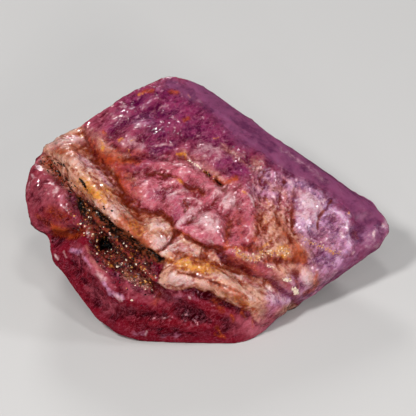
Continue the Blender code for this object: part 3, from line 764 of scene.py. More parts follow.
class Shader:
    """A material and its node tree."""

    def __init__(self, name: str) -> None:
        """Makes an empty material.

        Args:
            name: its name.
        """
        self.material = bpy.data.materials.new(name)
        self.material.use_nodes = True
        self.tree = self.material.node_tree
        self.tree.nodes.clear()

    def node(self, kind: str, settings: Mapping[str, Any], sockets: Mapping[Any, Any]) -> bpy.types.Node:
        """Adds one node.

        Args:
            kind: the node's type, without its first word.
            settings: its settings, set before its sockets.
            sockets: values or links of its input sockets, by name or number.

        Returns:
            The node.
        """
        made = self.tree.nodes.new("ShaderNode" + kind)
        for name, value in settings.items():
            setattr(made, name, value)
        for name, value in sockets.items():
            if isinstance(value, Sock):
                self.tree.links.new(value.socket, made.inputs[name])
            else:
                made.inputs[name].default_value = value
        return made

    def out(self, kind: str, settings: Mapping[str, Any], sockets: Any, output: str | int = 0) -> Sock:
        """One output of a new node."""
        return Sock(self, self.node(kind, settings, sockets).outputs[output])

    def mask(self, name: str) -> Sock:
        """A vertex attribute as a number."""
        return self.out("Attribute", {"attribute_name": name}, {}, "Fac")

    def mix(self, share: Any, first: Any, second: Any) -> Sock:
        """The first colour where share is 0 and the second where it is 1."""
        colours = [c if isinstance(c, Sock) else (*c, 1.0) for c in (first, second)]
        return self.out("Mix", {"data_type": "RGBA"}, {0: share, 6: colours[0], 7: colours[1]}, 2)

    def mapping(self, place: Sock, what: str, values: tuple[float, float, float]) -> Sock:
        """Coordinates turned or scaled by these values."""
        return self.out("Mapping", {}, {"Vector": place, what: values})

    def space(self, turn: float, along: float, across: float) -> Sock:
        """Coordinates over the board, in cells of this length and width.

        Args:
            turn: how far the cells turn from RIGHT, in degrees.
            along: the length of a cell, in millimetres.
            across: its width and depth.

        Returns:
            The coordinates, as a vector.
        """
        place = self.out("TexCoord", {}, {}, "Object")
        board = self.mapping(place, "Rotation", (-math.radians(90.0 - BOARD.lean), 0.0, 0.0))
        turned = self.mapping(board, "Rotation", (0.0, 0.0, -math.radians(turn)))
        sizes = (along, across, across)
        return self.mapping(turned, "Scale", tuple(1.0 / (size * MM) for size in sizes))

    def noise(self, space: Sock, detail: float = 3.0, rough: float = 0.55, twist: float = 0.0) -> Sock:
        """Noise with features one cell wide, 0 to 1."""
        sockets = {"Vector": space, "Scale": 1.0, "Detail": detail, "Roughness": rough, "Distortion": twist}
        return self.out("TexNoise", {}, sockets, "Fac")

    def threads(self, width: float, *noise: Any) -> Sock:
        """Thin lines that wander through a noise: 1 on them and 0 beside them."""
        return 1.0 - abs(self.noise(*noise) - 0.5).step(0.0, width)

    def facets(self, space: Sock) -> tuple[Sock, Sock]:
        """Flat facets, one to a cell, each with its own slant.

        Args:
            space: the coordinates, in cells.

        Returns:
            The height, in cells, and one value from 0 to 1 for each facet.
        """
        cells = self.out("TexVoronoi", {}, {"Vector": space, "Scale": 1.0}, "Color")
        away = self.vector("SUBTRACT", space, cells.beside("Position"))
        slant = self.vector("SUBTRACT", cells, (0.5, 0.5, 0.5))
        return self.vector("DOT_PRODUCT", away, slant, "Value"), cells * 1.0

    def vector(self, operation: str, first: Any, second: Any, name: str = "Vector") -> Sock:
        """A Vector Math node on these two, and the named one of its outputs."""
        return self.out("VectorMath", {"operation": operation}, {0: first, 1: second}, name)

    def bump(self, strength: float, distance: float, height: Sock) -> Sock:
        """Normals bent by a height."""
        return self.out("Bump", {}, {"Strength": strength, "Distance": distance, "Height": height})

    def plastic(self, sockets: Mapping[str, Any]) -> Sock:
        """A Principled shader with these sockets."""
        return self.out("BsdfPrincipled", {"subsurface_method": "RANDOM_WALK"}, sockets)

    def layered(self, share: Sock, first: Sock, second: Sock) -> Sock:
        """The first shader where share is 0 and the second where it is 1."""
        return self.out("MixShader", {}, {0: share, 1: first, 2: second})

    def surface(self, shader: Sock) -> bpy.types.Material:
        """Ends the tree with this surface, and returns the material."""
        self.node("OutputMaterial", {}, {"Surface": shader})
        return self.material


def tint(red: float, green: float, blue: float) -> Colour:
    """A colour as the shader's linear values.

    Args:
        red: the display value of its red, from 0 to 255.
        green: that of its green.
        blue: that of its blue.

    Returns:
        Its linear red, green and blue.
    """
    shares = [channel / 255.0 for channel in (red, green, blue)]
    lit = [s / 12.92 if s <= 0.04045 else ((s + 0.055) / 1.055) ** 2.4 for s in shares]
    return lit[0], lit[1], lit[2]


# Finishes


@dataclass(frozen=True)
class Pigment:
    """A coat's two colours, and how it ends and covers."""

    deep: Colour
    light: Colour
    cover: float = 1.0  # how much of what lies under it it hides
    ragged: float = 0.7  # how far the noise moves its edge
    edge: float = 0.30  # half the width of the edge


PIGMENTS: Mapping[Coat, Pigment] = {
    # the stone's dark red, made deeper as painted shade on the toe
    Coat.WINE: Pigment(tint(46, 0, 5), tint(122, 13, 24), 0.92, 1.2, 0.50),
    Coat.ROSE: Pigment(tint(146, 42, 58), tint(230, 124, 142), 0.90, 0.9, 0.50),
    Coat.PURPLE: Pigment(tint(92, 4, 66), tint(150, 48, 106), 0.85, 0.9, 0.50),
    Coat.LILAC: Pigment(tint(138, 82, 134), tint(240, 188, 230), 0.88, 1.1, 0.50),
    Coat.GROWN: Pigment(tint(98, 40, 80), tint(150, 80, 120), 0.95, 0.6, 0.40),
    Coat.PEACH: Pigment(tint(178, 80, 40), tint(250, 192, 162), 0.90, 0.9, 0.40),
    # pale frosty flaws, partly painted highlights and glints
    Coat.FROST_AND_HIGHLIGHT: Pigment(tint(236, 146, 160), tint(255, 226, 226), 0.68, 1.7, 0.45),
    Coat.STAIN: Pigment(tint(106, 22, 0), tint(194, 80, 16), 0.88, 1.2, 0.40),
    Coat.OCHRE: Pigment(tint(180, 80, 4), tint(246, 166, 56), 0.88, 1.4, 0.40),
    Coat.CRUST: Pigment(tint(20, 9, 5), tint(124, 58, 34), 1.0, 1.1, 0.30),
    # black: painted shade in pits and the crack, a painted shadow under the ledge, and black flecks
    Coat.PIT_SHADE_AND_FLECK: Pigment(tint(0, 0, 0), tint(3, 1, 1), 1.0, 0.6, 0.20),
}


@dataclass(frozen=True)
class Patterns:
    """The patterns that the ruby's colours, glints and bumps are made from."""

    grit: Sock
    fine: Sock
    mottle: Sock
    blotches: Sock
    strands: Sock
    clouds: Sock
    streaks: Sock
    facets: Sock  # how high the facets are
    breaks: Sock  # one shade for each facet
    raised: Sock  # 0 in a crease, 1 on a ridge

    @classmethod
    def of(cls, shader: Shader) -> "Patterns":
        """Makes the patterns.

        Args:
            shader: the material that they belong to.

        Returns:
            The patterns.
        """
        noise, space = shader.noise, shader.space
        fine = noise(space(0.0, 0.34, 0.28), 1.5, 0.5, 0.4)
        mottle = noise(space(40.0, 1.0, 0.60), 2.5, 0.55, 0.9)
        small, chance = shader.facets(space(38.0, 0.46, 0.19))
        large, block = shader.facets(space(40.0, 1.1, 0.55))
        return cls(
            grit=noise(space(0.0, 0.16, 0.16), 2.0, 0.5),
            fine=fine,
            mottle=mottle,
            blotches=fine * 0.4 + mottle * 0.6,
            strands=noise(space(-36.0, 1.3, 0.50), 2.5, 0.6, 0.8),
            clouds=noise(space(20.0, 2.4, 1.5), 3.0, 0.55, 0.6),
            streaks=noise(space(-38.0, 4.0, 0.9), 3.0, 0.5, 0.3),
            facets=small + large,
            breaks=fine * 0.10 + chance * 0.14 + block * 0.20,
            raised=1.0 - shader.mask("crease"),
        )

    def under(self, coat: Coat) -> Sock:
        """The pattern that shades a coat and frays its edge.

        Args:
            coat: the coat.

        Returns:
            Its own pattern, or the one that most coats share.
        """
        own = {
            Coat.PEACH: self.strands,
            Coat.STAIN: self.blotches,
            Coat.OCHRE: self.fine,
            Coat.CRUST: self.grit,
            Coat.GROWN: self.streaks,
        }
        return own.get(coat, self.mottle)

    def light(self, pattern: Sock, own: float, clouded: float) -> Sock:
        """Where a coat shows its light colour, from this much of its own pattern and of the clouds, and more
        on ridges: painted light on ridges and painted shade in creases.
        """
        # the raised term paints light on ridges and shade in creases
        share = pattern * own + self.clouds * clouded + self.breaks + (self.raised - 0.5) * 0.5
        return share.step(0.3, 0.7)


@dataclass(frozen=True)
class RubyFinish:
    """Clouded, wet-looking corundum, stained and crusted where it is broken."""

    body: Pigment = Pigment(tint(66, 0, 10), tint(140, 22, 46))
    ior: float = 1.77
    gloss: float = 0.07
    glints: tuple[tuple[float, Colour], ...] = ((0.005, (0.60, 0.30, 0.34)), (0.28, (1.0, 1.0, 1.0)))
    transmission: float = 0.30
    subsurface: float = 0.60
    radius: tuple[float, float, float] = (1.0, 0.30, 0.40)
    radius_scale: float = 0.0010
    coat: float = 0.22  # the clear coat where it is wet
    depth: float = 0.00014  # metres, of the facets
    wisp: Colour = tint(214, 130, 156)
    vein: Colour = tint(130, 46, 22)
    # the pale crinkle colour is a painted highlight streak
    crinkle_highlight: Colour = tint(252, 206, 210)
    dark_crinkle: Colour = tint(184, 84, 100)

    def material(self) -> bpy.types.Material:
        """Builds the material.

        Returns:
            The material.
        """
        shader = Shader("ruby_skin")
        patterns = Patterns.of(shader)
        masks = self._masks(shader, patterns)
        dull = (masks[Coat.CRUST] + masks[Coat.PIT_SHADE_AND_FLECK]).step(0.2, 0.8)
        bare = (1.0 - dull) * (1.0 - masks[Coat.GROWN])
        coloured = self._coloured(shader, patterns, masks)
        grown, stain = masks[Coat.GROWN], masks[Coat.STAIN]
        shared = {
            "Base Color": self._lined(shader, masks, bare, coloured),
            "Roughness": self.gloss + grown * 0.28 + stain * 0.30 + dull * 0.4,
            "Normal": shader.bump(1.0, self.depth, self._bumps(patterns, masks)),
        }
        wet = self._wet(shader, patterns, stain) * bare
        ruby = self._glass(shader, shared, wet)
        earth = shader.plastic({**shared, "Specular IOR Level": 0.05})
        return shader.surface(shader.layered(dull, ruby, earth))

    @staticmethod
    def _masks(shader: Shader, patterns: Patterns) -> dict[Coat, Sock]:
        """Frays the edge of each coat.

        Args:
            shader: the material.
            patterns: its patterns.

        Returns:
            How far each coat covers what lies under it.
        """
        masks: dict[Coat, Sock] = {}
        for coat, pigment in PIGMENTS.items():
            pattern = patterns.under(coat)
            ragged = shader.mask(coat.value) + (patterns.fine * 0.25 + pattern * 0.75 - 0.5) * pigment.ragged
            masks[coat] = ragged.step(0.5 - pigment.edge, 0.5 + pigment.edge) * pigment.cover
        return masks

    def _coloured(self, shader: Shader, patterns: Patterns, masks: Mapping[Coat, Sock]) -> Sock:
        """Lays the coats' colours over the ruby's own.

        Args:
            shader: the material.
            patterns: its patterns.
            masks: how far each coat covers.

        Returns:
            The colour.
        """
        colour = shader.mix(patterns.light(patterns.mottle, 0.36, 0.20), self.body.deep, self.body.light)
        for coat, pigment in PIGMENTS.items():
            light = patterns.light(patterns.under(coat), 0.40, 0.16)
            colour = shader.mix(masks[coat], colour, shader.mix(light, pigment.deep, pigment.light))
        return colour

    def _lined(self, shader: Shader, masks: Mapping[Coat, Sock], bare: Sock, colour: Sock) -> Sock:
        """Draws wisps, veins, crinkles and painted highlight streaks over the colours.

        Args:
            shader: the material.
            masks: how far each coat covers.
            bare: where the broken ruby is bare.
            colour: the colour so far.

        Returns:
            The colour with its lines.
        """
        space, wine = shader.space, masks[Coat.WINE]
        clean = bare * (1.0 - masks[Coat.STAIN])
        pale = (masks[Coat.ROSE] + masks[Coat.PEACH] + masks[Coat.LILAC]).step(0.2, 0.8)
        wisps = shader.threads(0.035, space(30.0, 1.1, 0.6), 2.0, 0.5, 1.6)
        veins = shader.threads(0.025, space(-20.0, 1.4, 0.8), 3.0, 0.6, 1.2)
        crinkles = shader.threads(0.026, space(44.0, 1.0, 0.34), 1.5, 0.5, 0.6)
        lines = (
            (wisps * clean * (1.0 - wine * 0.5) * 0.26, self.wisp),
            (veins * bare * pale * 0.45, self.vein),
            # pale crinkles on pale coats: painted highlight streaks
            (crinkles * clean * pale * 0.36, self.crinkle_highlight),
            (crinkles * clean * wine * 0.60, self.dark_crinkle),
        )
        for share, line in lines:
            colour = shader.mix(share, colour, line)
        return colour

    @staticmethod
    def _wet(shader: Shader, patterns: Patterns, stain: Sock) -> Sock:
        """Where the skin glints, most on ridges and least on stain.

        Args:
            shader: the material.
            patterns: its patterns.
            stain: where it is stained.

        Returns:
            0 where it is damp and 1 where it is wet.
        """
        shine = shader.mask("wet") - stain * 0.45 + (patterns.raised - 0.5) * 0.8
        return (shine + (patterns.mottle - 0.5) * 0.9 + (patterns.clouds - 0.5) * 0.5).step(0.35, 0.65)

    @staticmethod
    def _bumps(patterns: Patterns, masks: Mapping[Coat, Sock]) -> Sock:
        """Small facets and waves, with nearly none on the crystal face.

        Args:
            patterns: the material's patterns.
            masks: how far each coat covers.

        Returns:
            Their height.
        """
        calm = (1.0 - masks[Coat.GROWN] * 0.92) * (1.0 - masks[Coat.WINE] * 0.2)
        waves = patterns.fine * 0.10 + patterns.mottle * 0.25 + patterns.strands * masks[Coat.PEACH] * 0.4
        return (patterns.facets + waves) * calm

    def _glass(self, shader: Shader, shared: Mapping[str, Any], wet: Sock) -> Sock:
        """Clear ruby over cloudy ruby, with glints where it is wet.

        Args:
            shader: the material.
            shared: the sockets that the ruby has in common with its crust.
            wet: where it is wet.

        Returns:
            The shader.
        """
        clear = {
            **shared,
            "IOR": self.ior,
            "Transmission Weight": self.transmission,
            "Subsurface Weight": self.subsurface,
            "Subsurface Radius": self.radius,
            "Subsurface Scale": self.radius_scale,
            "Coat Weight": wet * self.coat,
            "Coat Roughness": 0.06,
            "Coat IOR": 1.5,
        }
        damp_side, wet_side = (
            shader.plastic({**clear, "Specular IOR Level": level, "Specular Tint": (*hue, 1.0)})
            for level, hue in self.glints
        )
        return shader.layered(wet, damp_side, wet_side)


class Mineral(Enum):
    """What a grain is made of. The values tell them apart in the grains' own attribute."""

    BLACK = 0.0
    BROWN = 0.33
    AMBER = 0.66
    PALE = 1.0


@dataclass(frozen=True)
class GrainFinish:
    """Black, rust-brown, amber and pale mineral grains."""

    black: Colour = tint(14, 10, 9)
    brown: Colour = tint(110, 56, 30)
    amber: Colour = tint(228, 158, 78)
    pale: Colour = tint(246, 224, 200)
    cloud: float = 0.7  # how far its dark clouds are from black to its own colour

    def material(self) -> bpy.types.Material:
        """Builds the material.

        Returns:
            The material.
        """
        shader = Shader("grains")
        kind = shader.mask("mineral")
        fine = shader.noise(shader.space(0.0, 0.12, 0.12))
        colour = shader.mix(kind.step(0.15, 0.18), self.black, self.brown)
        colour = shader.mix(kind.step(0.48, 0.50), colour, self.amber)
        colour = shader.mix(kind.step(0.80, 0.82), colour, self.pale)
        darker = shader.mix(self.cloud, colour, (0.0, 0.0, 0.0))
        sockets = {
            "Base Color": shader.mix(fine.step(0.35, 0.75) * 0.6, colour, darker),
            "Roughness": 0.14 + fine * 0.25,
            "Normal": shader.bump(0.6, 0.00005, fine),
            "Specular IOR Level": 0.6,
        }
        return shader.surface(shader.plastic(sockets))


@dataclass(frozen=True)
class FloorFinish:
    """A plain pale matt floor."""

    colour: Colour = (0.52, 0.51, 0.50)

    def material(self) -> bpy.types.Material:
        """Builds the material."""
        shader = Shader("floor")
        return shader.surface(shader.plastic({"Base Color": (*self.colour, 1.0), "Roughness": 0.85}))


# The stone


def new_piece(name: str, data: bpy.types.ID) -> bpy.types.Object:
    """Puts a new object in the scene.

    Args:
        name: its name.
        data: its mesh, light or camera.

    Returns:
        The object.
    """
    piece = bpy.data.objects.new(name, data)
    bpy.context.scene.collection.objects.link(piece)
    return piece


def finished_mesh(name: str, mesh: bmesh.types.BMesh) -> bpy.types.Mesh:
    """Ends the building of a mesh.

    Args:
        name: the mesh's name.
        mesh: what was built, which is freed.

    Returns:
        The mesh.
    """
    data = bpy.data.meshes.new(name)
    mesh.to_mesh(data)
    mesh.free()
    return data


def laid_over(base: Array, shares: list[Array], values: list[Array | float]) -> Array:
    """Lays values over a base, one after another.

    Args:
        base: the value at each place to start with.
        shares: for each layer, how far it covers each place.
        values: the value of each layer.

    Returns:
        The value at each place.
    """
    for share, value in zip(shares, values):
        base = base * (1.0 - share) + value * share
    return base


class MeshNumbers:
    """A mesh's points, normals and edges as arrays."""

    def __init__(self, mesh: bpy.types.Mesh) -> None:
        """Reads the mesh.

        Args:
            mesh: the mesh, which stays at hand to be changed.
        """
        self.mesh = mesh
        self.points = self.read("co")
        self.normals = self.read("normal")
        self.edges = np.empty(len(mesh.edges) * 2, dtype=np.int64)
        mesh.edges.foreach_get("vertices", self.edges)
        self.edges = self.edges.reshape(-1, 2)

    def read(self, name: str) -> Array:
        """Reads one vector a point.

        Args:
            name: what to read: "co" for places, "normal" for normals.

        Returns:
            One row for each point.
        """
        values = np.empty(len(self.mesh.vertices) * 3)
        self.mesh.vertices.foreach_get(name, values)
        return values.reshape(-1, 3)

    def evened(self, values: Array, passes: int) -> Array:
        """Averages values with those of their neighbours, over and over.

        Args:
            values: one value for each point.
            passes: how many times.

        Returns:
            The averaged values.
        """
        first, second = self.edges.T
        count = len(values)
        degree = np.bincount(first, minlength=count) + np.bincount(second, minlength=count)
        for _ in range(passes):
            total = np.bincount(first, values[second], count) + np.bincount(second, values[first], count)
            values = 0.5 * values + 0.5 * total / degree
        return values

    def evened_points(self, passes: int) -> Array:
        """The points averaged with their neighbours, over and over."""
        return np.stack([self.evened(self.points[:, axis], passes) for axis in range(3)], axis=1)

    def hollows(self, passes: int) -> Array:
        """How deep each point lies in a hollow, in metres; below zero on a ridge."""
        return np.einsum("ij,ij->i", self.evened_points(passes) - self.points, self.normals)

    def move(self, points: Array) -> None:
        """Moves the mesh's points."""
        self.mesh.vertices.foreach_set("co", points.ravel())
        self.mesh.update()

    def store(self, name: str, values: Array) -> None:
        """Keeps one number a point as an attribute."""
        self.mesh.attributes.new(name, "FLOAT", "POINT").data.foreach_set("value", values.astype(np.float32))


@dataclass
class Skin:
    """The stone's whole outside, as one fine mesh in place of its solid."""

    grain: float = 0.13  # millimetres between points
    soften: int = 6
    rounding: int = 50
    triangles: int = 190000
    wander: tuple[tuple[float, float], ...] = ((0.35, 1.8), (0.16, 0.6))  # how far lines stray, over what
    wander_seeds: tuple[int, int] = (70, 80)  # along RIGHT and UP
    front: tuple[float, float] = (-0.10, 0.30)  # how squarely skin faces OUT where marks begin and are full
    sole: float = 0.06  # millimetres: what lies lower is flat on the floor
    rim: float = 0.5  # millimetres over which the relief dies out above the floor
    creases: tuple[tuple[int, float], ...] = ((8, 0.08), (60, 0.30))  # passes, and the depth that counts as 1
    gathering: tuple[float, float] = (0.2, 1.3)  # how deep a crease is where stain begins and is full
    crease_change: float = 0.4  # how much the kept crease changes with that depth
    fade: float = 0.25  # how far below zero a coat falls where there is none
    finish: RubyFinish = field(default_factory=RubyFinish)

    def build(self) -> bpy.types.Object:
        """Makes the skin, with its relief and its coats.

        Returns:
            The new piece, riding on the stone's body in place of its solid.
        """
        piece = self._fine_copy()
        self._shape(piece)
        self._thin(piece)
        self._coat(piece)
        piece.data.materials.clear()
        piece.data.materials.append(self.finish.material())
        piece.data.polygons.foreach_set("use_smooth", [True] * len(piece.data.polygons))
        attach(piece, BODY)
        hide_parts(NODE)
        return piece

    def _fine_copy(self) -> bpy.types.Object:
        """Copies the solid, with more points.

        Returns:
            The copy, with its points this piece's grain apart.
        """
        mesh = bmesh.new()
        mesh.from_mesh(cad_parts[NODE].data)
        bmesh.ops.remove_doubles(mesh, verts=mesh.verts, dist=1e-6)
        piece = new_piece("ruby_skin", finished_mesh("ruby_skin", mesh))
        fuse = piece.modifiers.new("fuse", "REMESH")
        fuse.mode = "VOXEL"
        fuse.voxel_size = self.grain * MM
        even = piece.modifiers.new("even", "SMOOTH")
        even.factor = 0.5
        even.iterations = self.soften
        self._settle(piece)
        return piece

    @staticmethod
    def _settle(piece: bpy.types.Object) -> None:
        """Turns a piece's modifiers into its own mesh.

        Args:
            piece: the piece.
        """
        graph = bpy.context.evaluated_depsgraph_get()
        made = bpy.data.meshes.new_from_object(piece.evaluated_get(graph))
        piece.modifiers.clear()
        piece.data = made

    def _strayed(self, spots: Array) -> Array:
        """Moves places a little, so that laid-out lines look natural.

        Args:
            spots: RIGHT, UP and OUT of each place, in millimetres.

        Returns:
            RIGHT and UP of each, moved.
        """
        places = spots[:, :2].copy()
        for seed, (far, over) in enumerate(self.wander):
            for axis, first in enumerate(self.wander_seeds):
                places[:, axis] += far * Lattice(first + seed).swell(spots / over)
        return places

    def _facing(self, normals: Array) -> Array:
        """1 where a surface faces OUT, 0 where it faces away."""
        return smooth_step(*self.front, normals @ BOARD.axes()[2])

    def _shape(self, piece: bpy.types.Object) -> None:
        """Works the small relief and the marks into the skin.

        Args:
            piece: the skin.
        """
        numbers = MeshNumbers(piece.data)
        self._round_off(numbers)
        spots = BOARD.spots(numbers.points)
        places = self._strayed(spots)
        facing = self._facing(numbers.normals)
        shares = [zone.share(places) * facing for zone in ZONES]
        height = laid_over(HIDDEN.relief(spots), shares, [zone.relief(spots) for zone in ZONES])
        for marks in MARKS.values():
            for mark in marks:
                if mark.rise:
                    height += mark.rise * mark.profile(places) * facing
        above = smooth_step(0.0, self.rim, numbers.points[:, 2] / MM)
        points = numbers.points + (height * above * MM)[:, None] * numbers.normals
        points[:, 2] = np.where(points[:, 2] < self.sole * MM, 0.0, points[:, 2])
        numbers.move(np.clip(points, *np.array(CAD_BOX)))

    def _round_off(self, numbers: MeshNumbers) -> None:
        """Rounds the stone off at the places laid out for it.

        Args:
            numbers: the skin's mesh.
        """
        places = BOARD.spots(numbers.points)[:, :2]
        share = np.clip(sum(mark.profile(places) for mark in ROUNDED), 0.0, 1.0)
        numbers.points += (numbers.evened_points(self.rounding) - numbers.points) * share[:, None]
        numbers.move(numbers.points)
        numbers.normals = numbers.read("normal")

    def _thin(self, piece: bpy.types.Object) -> None:
        """Leaves the skin the triangles it needs, most of them where it is most uneven.

        Args:
            piece: the skin.
        """
        thin = piece.modifiers.new("thin", "DECIMATE")
        thin.ratio = self.triangles / (2.0 * len(piece.data.polygons))
        thin.use_collapse_triangulate = True
        self._settle(piece)
        numbers = MeshNumbers(piece.data)
        numbers.move(np.clip(numbers.points, *np.array(CAD_BOX)))

    def _coat(self, piece: bpy.types.Object) -> None:
        """Keeps how much of each coat there is, and how deep the creases are, as attributes.

        Args:
            piece: the skin.
        """
        numbers = MeshNumbers(piece.data)
        spots = BOARD.spots(numbers.points)
        places = self._strayed(spots)
        facing = self._facing(numbers.normals)
        shares = [zone.share(places) * facing for zone in ZONES]
        hollow = sum(numbers.hollows(passes) / (depth * MM) for passes, depth in self.creases)
        # Stain gathers in creases; the pale coat gathers on ridges as painted highlight.
        gathered = {
            Coat.STAIN: smooth_step(*self.gathering, hollow),
            Coat.FROST_AND_HIGHLIGHT: smooth_step(*self.gathering, -hollow),
        }
        for coat in Coat:
            spread = SPREADS[coat].over(spots) if coat in SPREADS else np.zeros(len(places))
            amount = laid_over(spread, shares, [zone.coats.get(coat, 0.0) for zone in ZONES])
            amount = self._marked(amount, coat, places, facing)
            if coat in gathered:
                room = 1.0 - np.clip(amount, 0.0, 1.0)
                amount = amount + gathered[coat] * self._reach(coat, shares) * room
            numbers.store(coat.value, amount - self.fade * (1.0 - smooth_step(0.0, self.fade, amount)))
        wet = laid_over(np.full(len(places), HIDDEN.wet), shares, [zone.wet for zone in ZONES])
        for mark in GLINTS:
            wet = wet + mark.strength * mark.profile(places) * facing
        numbers.store("wet", wet)
        numbers.store("crease", np.clip(0.5 + self.crease_change * hollow, 0.0, 1.0))

    @staticmethod
    def _marked(amount: Array, coat: Coat, places: Array, facing: Array) -> Array:
        """Draws a coat's marks, which add to it or, below zero, wipe it off.

        Args:
            amount: how much of the coat there is at each place.
            coat: the coat.
            places: RIGHT and UP of each place, in millimetres.
            facing: how far each faces OUT.

        Returns:
            How much of it there is with its marks.
        """
        for mark in MARKS.get(coat, ()):
            held = np.clip(amount, 0.0, 1.0)
            room = 1.0 - held if mark.strength > 0.0 else held
            amount = amount + mark.strength * mark.profile(places) * facing * room
        return amount

    @staticmethod
    def _reach(coat: Coat, shares: list[Array]) -> Array:
        """How much of a coat may gather at each place.

        Args:
            coat: the coat.
            shares: how far each zone covers each place.

        Returns:
            0 where none gathers, up to 1.
        """
        reach = np.clip(1.0 - sum(shares), 0.0, 1.0) * HIDDEN.gathers(coat)
        for zone, share in zip(ZONES, shares):
            reach = reach + share * zone.gathers(coat)
        return np.clip(reach, 0.0, 1.0)


@dataclass(frozen=True)
class Bed:
    """A line on the board with grains strewn along it."""

    line: tuple[Spot, ...]
    spread: float  # how far they stray to each side
    count: int
    radii: tuple[float, float]
    minerals: Mapping[Mineral, float]  # the share of each


BEDS = (
    Bed(
        corners(-126, 138, -114, 118, -96, 96, -74, 78, -56, 64),
        spread=0.85, count=620, radii=(0.05, 0.15),
        minerals={Mineral.BLACK: 0.42, Mineral.BROWN: 0.43, Mineral.AMBER: 0.07, Mineral.PALE: 0.08},
    ),
    # black grains along the undercut: dark deposit, and a painted shadow under the ledge
    Bed(
        corners(-129, 148, -125, 136, -112, 132, -96, 120, -78, 106, -64, 97, -47, 84),
        spread=0.16, count=210, radii=(0.06, 0.14), minerals={Mineral.BLACK: 0.80, Mineral.BROWN: 0.20},
    ),
    Bed(
        corners(-169, 182, -162, 185, -154, 183, -143, 178),
        spread=0.14, count=26, radii=(0.08, 0.15), minerals={Mineral.BLACK: 1.0},
    ),
    Bed(
        corners(-162, 179, -154, 173, -147, 166, -138, 158, -132, 150),
        spread=0.34, count=60, radii=(0.08, 0.16), minerals={Mineral.BLACK: 0.85, Mineral.BROWN: 0.15},
    ),
    Bed(
        corners(-129, 165, -126, 162, -121, 155),
        spread=0.10, count=20, radii=(0.08, 0.14), minerals={Mineral.BLACK: 1.0},
    ),
    Bed(
        corners(-100, 80, -84, 69, -66, 60, -54, 50),
        spread=0.30, count=60, radii=(0.04, 0.10), minerals={Mineral.BLACK: 0.8, Mineral.PALE: 0.2},
    ),
    Bed(
        corners(24, 97, 31, 90, 39, 87, 48, 85, 56, 90, 66, 92, 76, 94, 82, 90),
        spread=0.22, count=130, radii=(0.05, 0.12),
        minerals={Mineral.AMBER: 0.55, Mineral.PALE: 0.30, Mineral.BROWN: 0.15},
    ),
    Bed(
        corners(96, 105, 106, 100, 116, 97, 126, 92, 133, 91),
        spread=0.16, count=60, radii=(0.04, 0.09), minerals={Mineral.AMBER: 0.65, Mineral.PALE: 0.35},
    ),
    Bed(
        corners(-6, 174, 4, 168, 13, 158),
        spread=0.22, count=14, radii=(0.04, 0.08), minerals={Mineral.AMBER: 0.7, Mineral.PALE: 0.3},
    ),
    # pale crystals along the crack, and a painted highlight where it sparkles
    Bed(
        corners(-20, 184, -12, 179, -7, 176, -9, 178),
        spread=0.07, count=30, radii=(0.05, 0.13), minerals={Mineral.PALE: 1.0},
    ),
    Bed(corners(86, 55, 89, 50), spread=0.12, count=34, radii=(0.08, 0.18), minerals={Mineral.PALE: 1.0}),
    Bed(
        corners(76, 64, 83, 64),
        spread=0.10, count=16, radii=(0.06, 0.14), minerals={Mineral.PALE: 0.8, Mineral.AMBER: 0.2},
    ),
    Bed(
        corners(59, 79, 66, 76),
        spread=0.08, count=14, radii=(0.05, 0.12), minerals={Mineral.PALE: 0.7, Mineral.AMBER: 0.3},
    ),
)


@dataclass
class Grains:
    """The mineral grains caught in the undercut and strewn along the ledge, as one joined mesh."""

    seed: int = 5
    roughness: float = 0.30  # how uneven a grain is
    narrow: float = 0.6  # the least width of a grain, as a share of its length
    flat: float = 0.45  # and its least height
    sunk: float = 0.25  # how deep a grain sits in the skin, as a share of its radius
    above: float = 12.0  # millimetres off the board, where grains start to fall from
    finish: GrainFinish = field(default_factory=GrainFinish)

    def build(self, skin: bpy.types.Object) -> bpy.types.Object:
        """Strews the grains over the skin.

        Args:
            skin: the stone's outside, which they sit in.

        Returns:
            The grains as one piece, riding on the stone's body.
        """
        rng = np.random.default_rng(self.seed)
        points = [vert.co.copy() for vert in skin.data.vertices]
        ground = BVHTree.FromPolygons(points, [tuple(face.vertices) for face in skin.data.polygons])
        mesh = bmesh.new()
        kinds: list[float] = []
        for bed in BEDS:
            for _ in range(bed.count):
                made = self._grain(mesh, rng, bed, ground)
                mineral = rng.choice(len(bed.minerals), p=np.array(list(bed.minerals.values())))
                kinds += [list(bed.minerals)[mineral].value] * made
        data = finished_mesh("grains", mesh)
        MeshNumbers(data).store("mineral", np.array(kinds))
        data.materials.append(self.finish.material())
        piece = new_piece("grains", data)
        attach(piece, BODY)
        return piece

    def _grain(self, mesh: bmesh.types.BMesh, rng: np.random.Generator, bed: Bed, ground: BVHTree) -> int:
        """Adds one grain.

        Args:
            mesh: the mesh it goes into.
            rng: the source of its random values.
            bed: the bed it belongs to.
            ground: what it sits on.

        Returns:
            How many points it has.
        """
        line = np.array(bed.line)
        lengths = np.linalg.norm(np.diff(line, axis=0), axis=1)
        part = rng.choice(len(lengths), p=lengths / lengths.sum())
        spot = line[part] + rng.random() * (line[part + 1] - line[part]) + rng.normal(0.0, bed.spread, 2)
        radius = rng.uniform(*bed.radii)
        values = rng.random(9)
        uneven = 1.0 + self.roughness * rng.normal(0.0, 1.0, (12, 3))[:, 0]
        hit, normal, _, _ = ground.ray_cast(BOARD.point(spot[0], spot[1], self.above), -BOARD.out())
        if hit is None:
            return 0
        made = bmesh.ops.create_icosphere(mesh, subdivisions=1, radius=1.0)["verts"]
        turn = Vector(values[:3] - 0.5).to_track_quat("Z", "Y").to_matrix()
        squeeze = np.array((1.0, self.narrow + 0.4 * values[3], self.flat + 0.5 * values[4]))
        upright = normal.to_track_quat("Z", "Y").to_matrix()
        for vert, swollen in zip(made, uneven):
            local = Vector(np.array(turn @ vert.co) * swollen * squeeze * radius * MM)
            vert.co = hit + upright @ local - normal * (self.sunk * radius * MM)
        return len(made)


# The studio


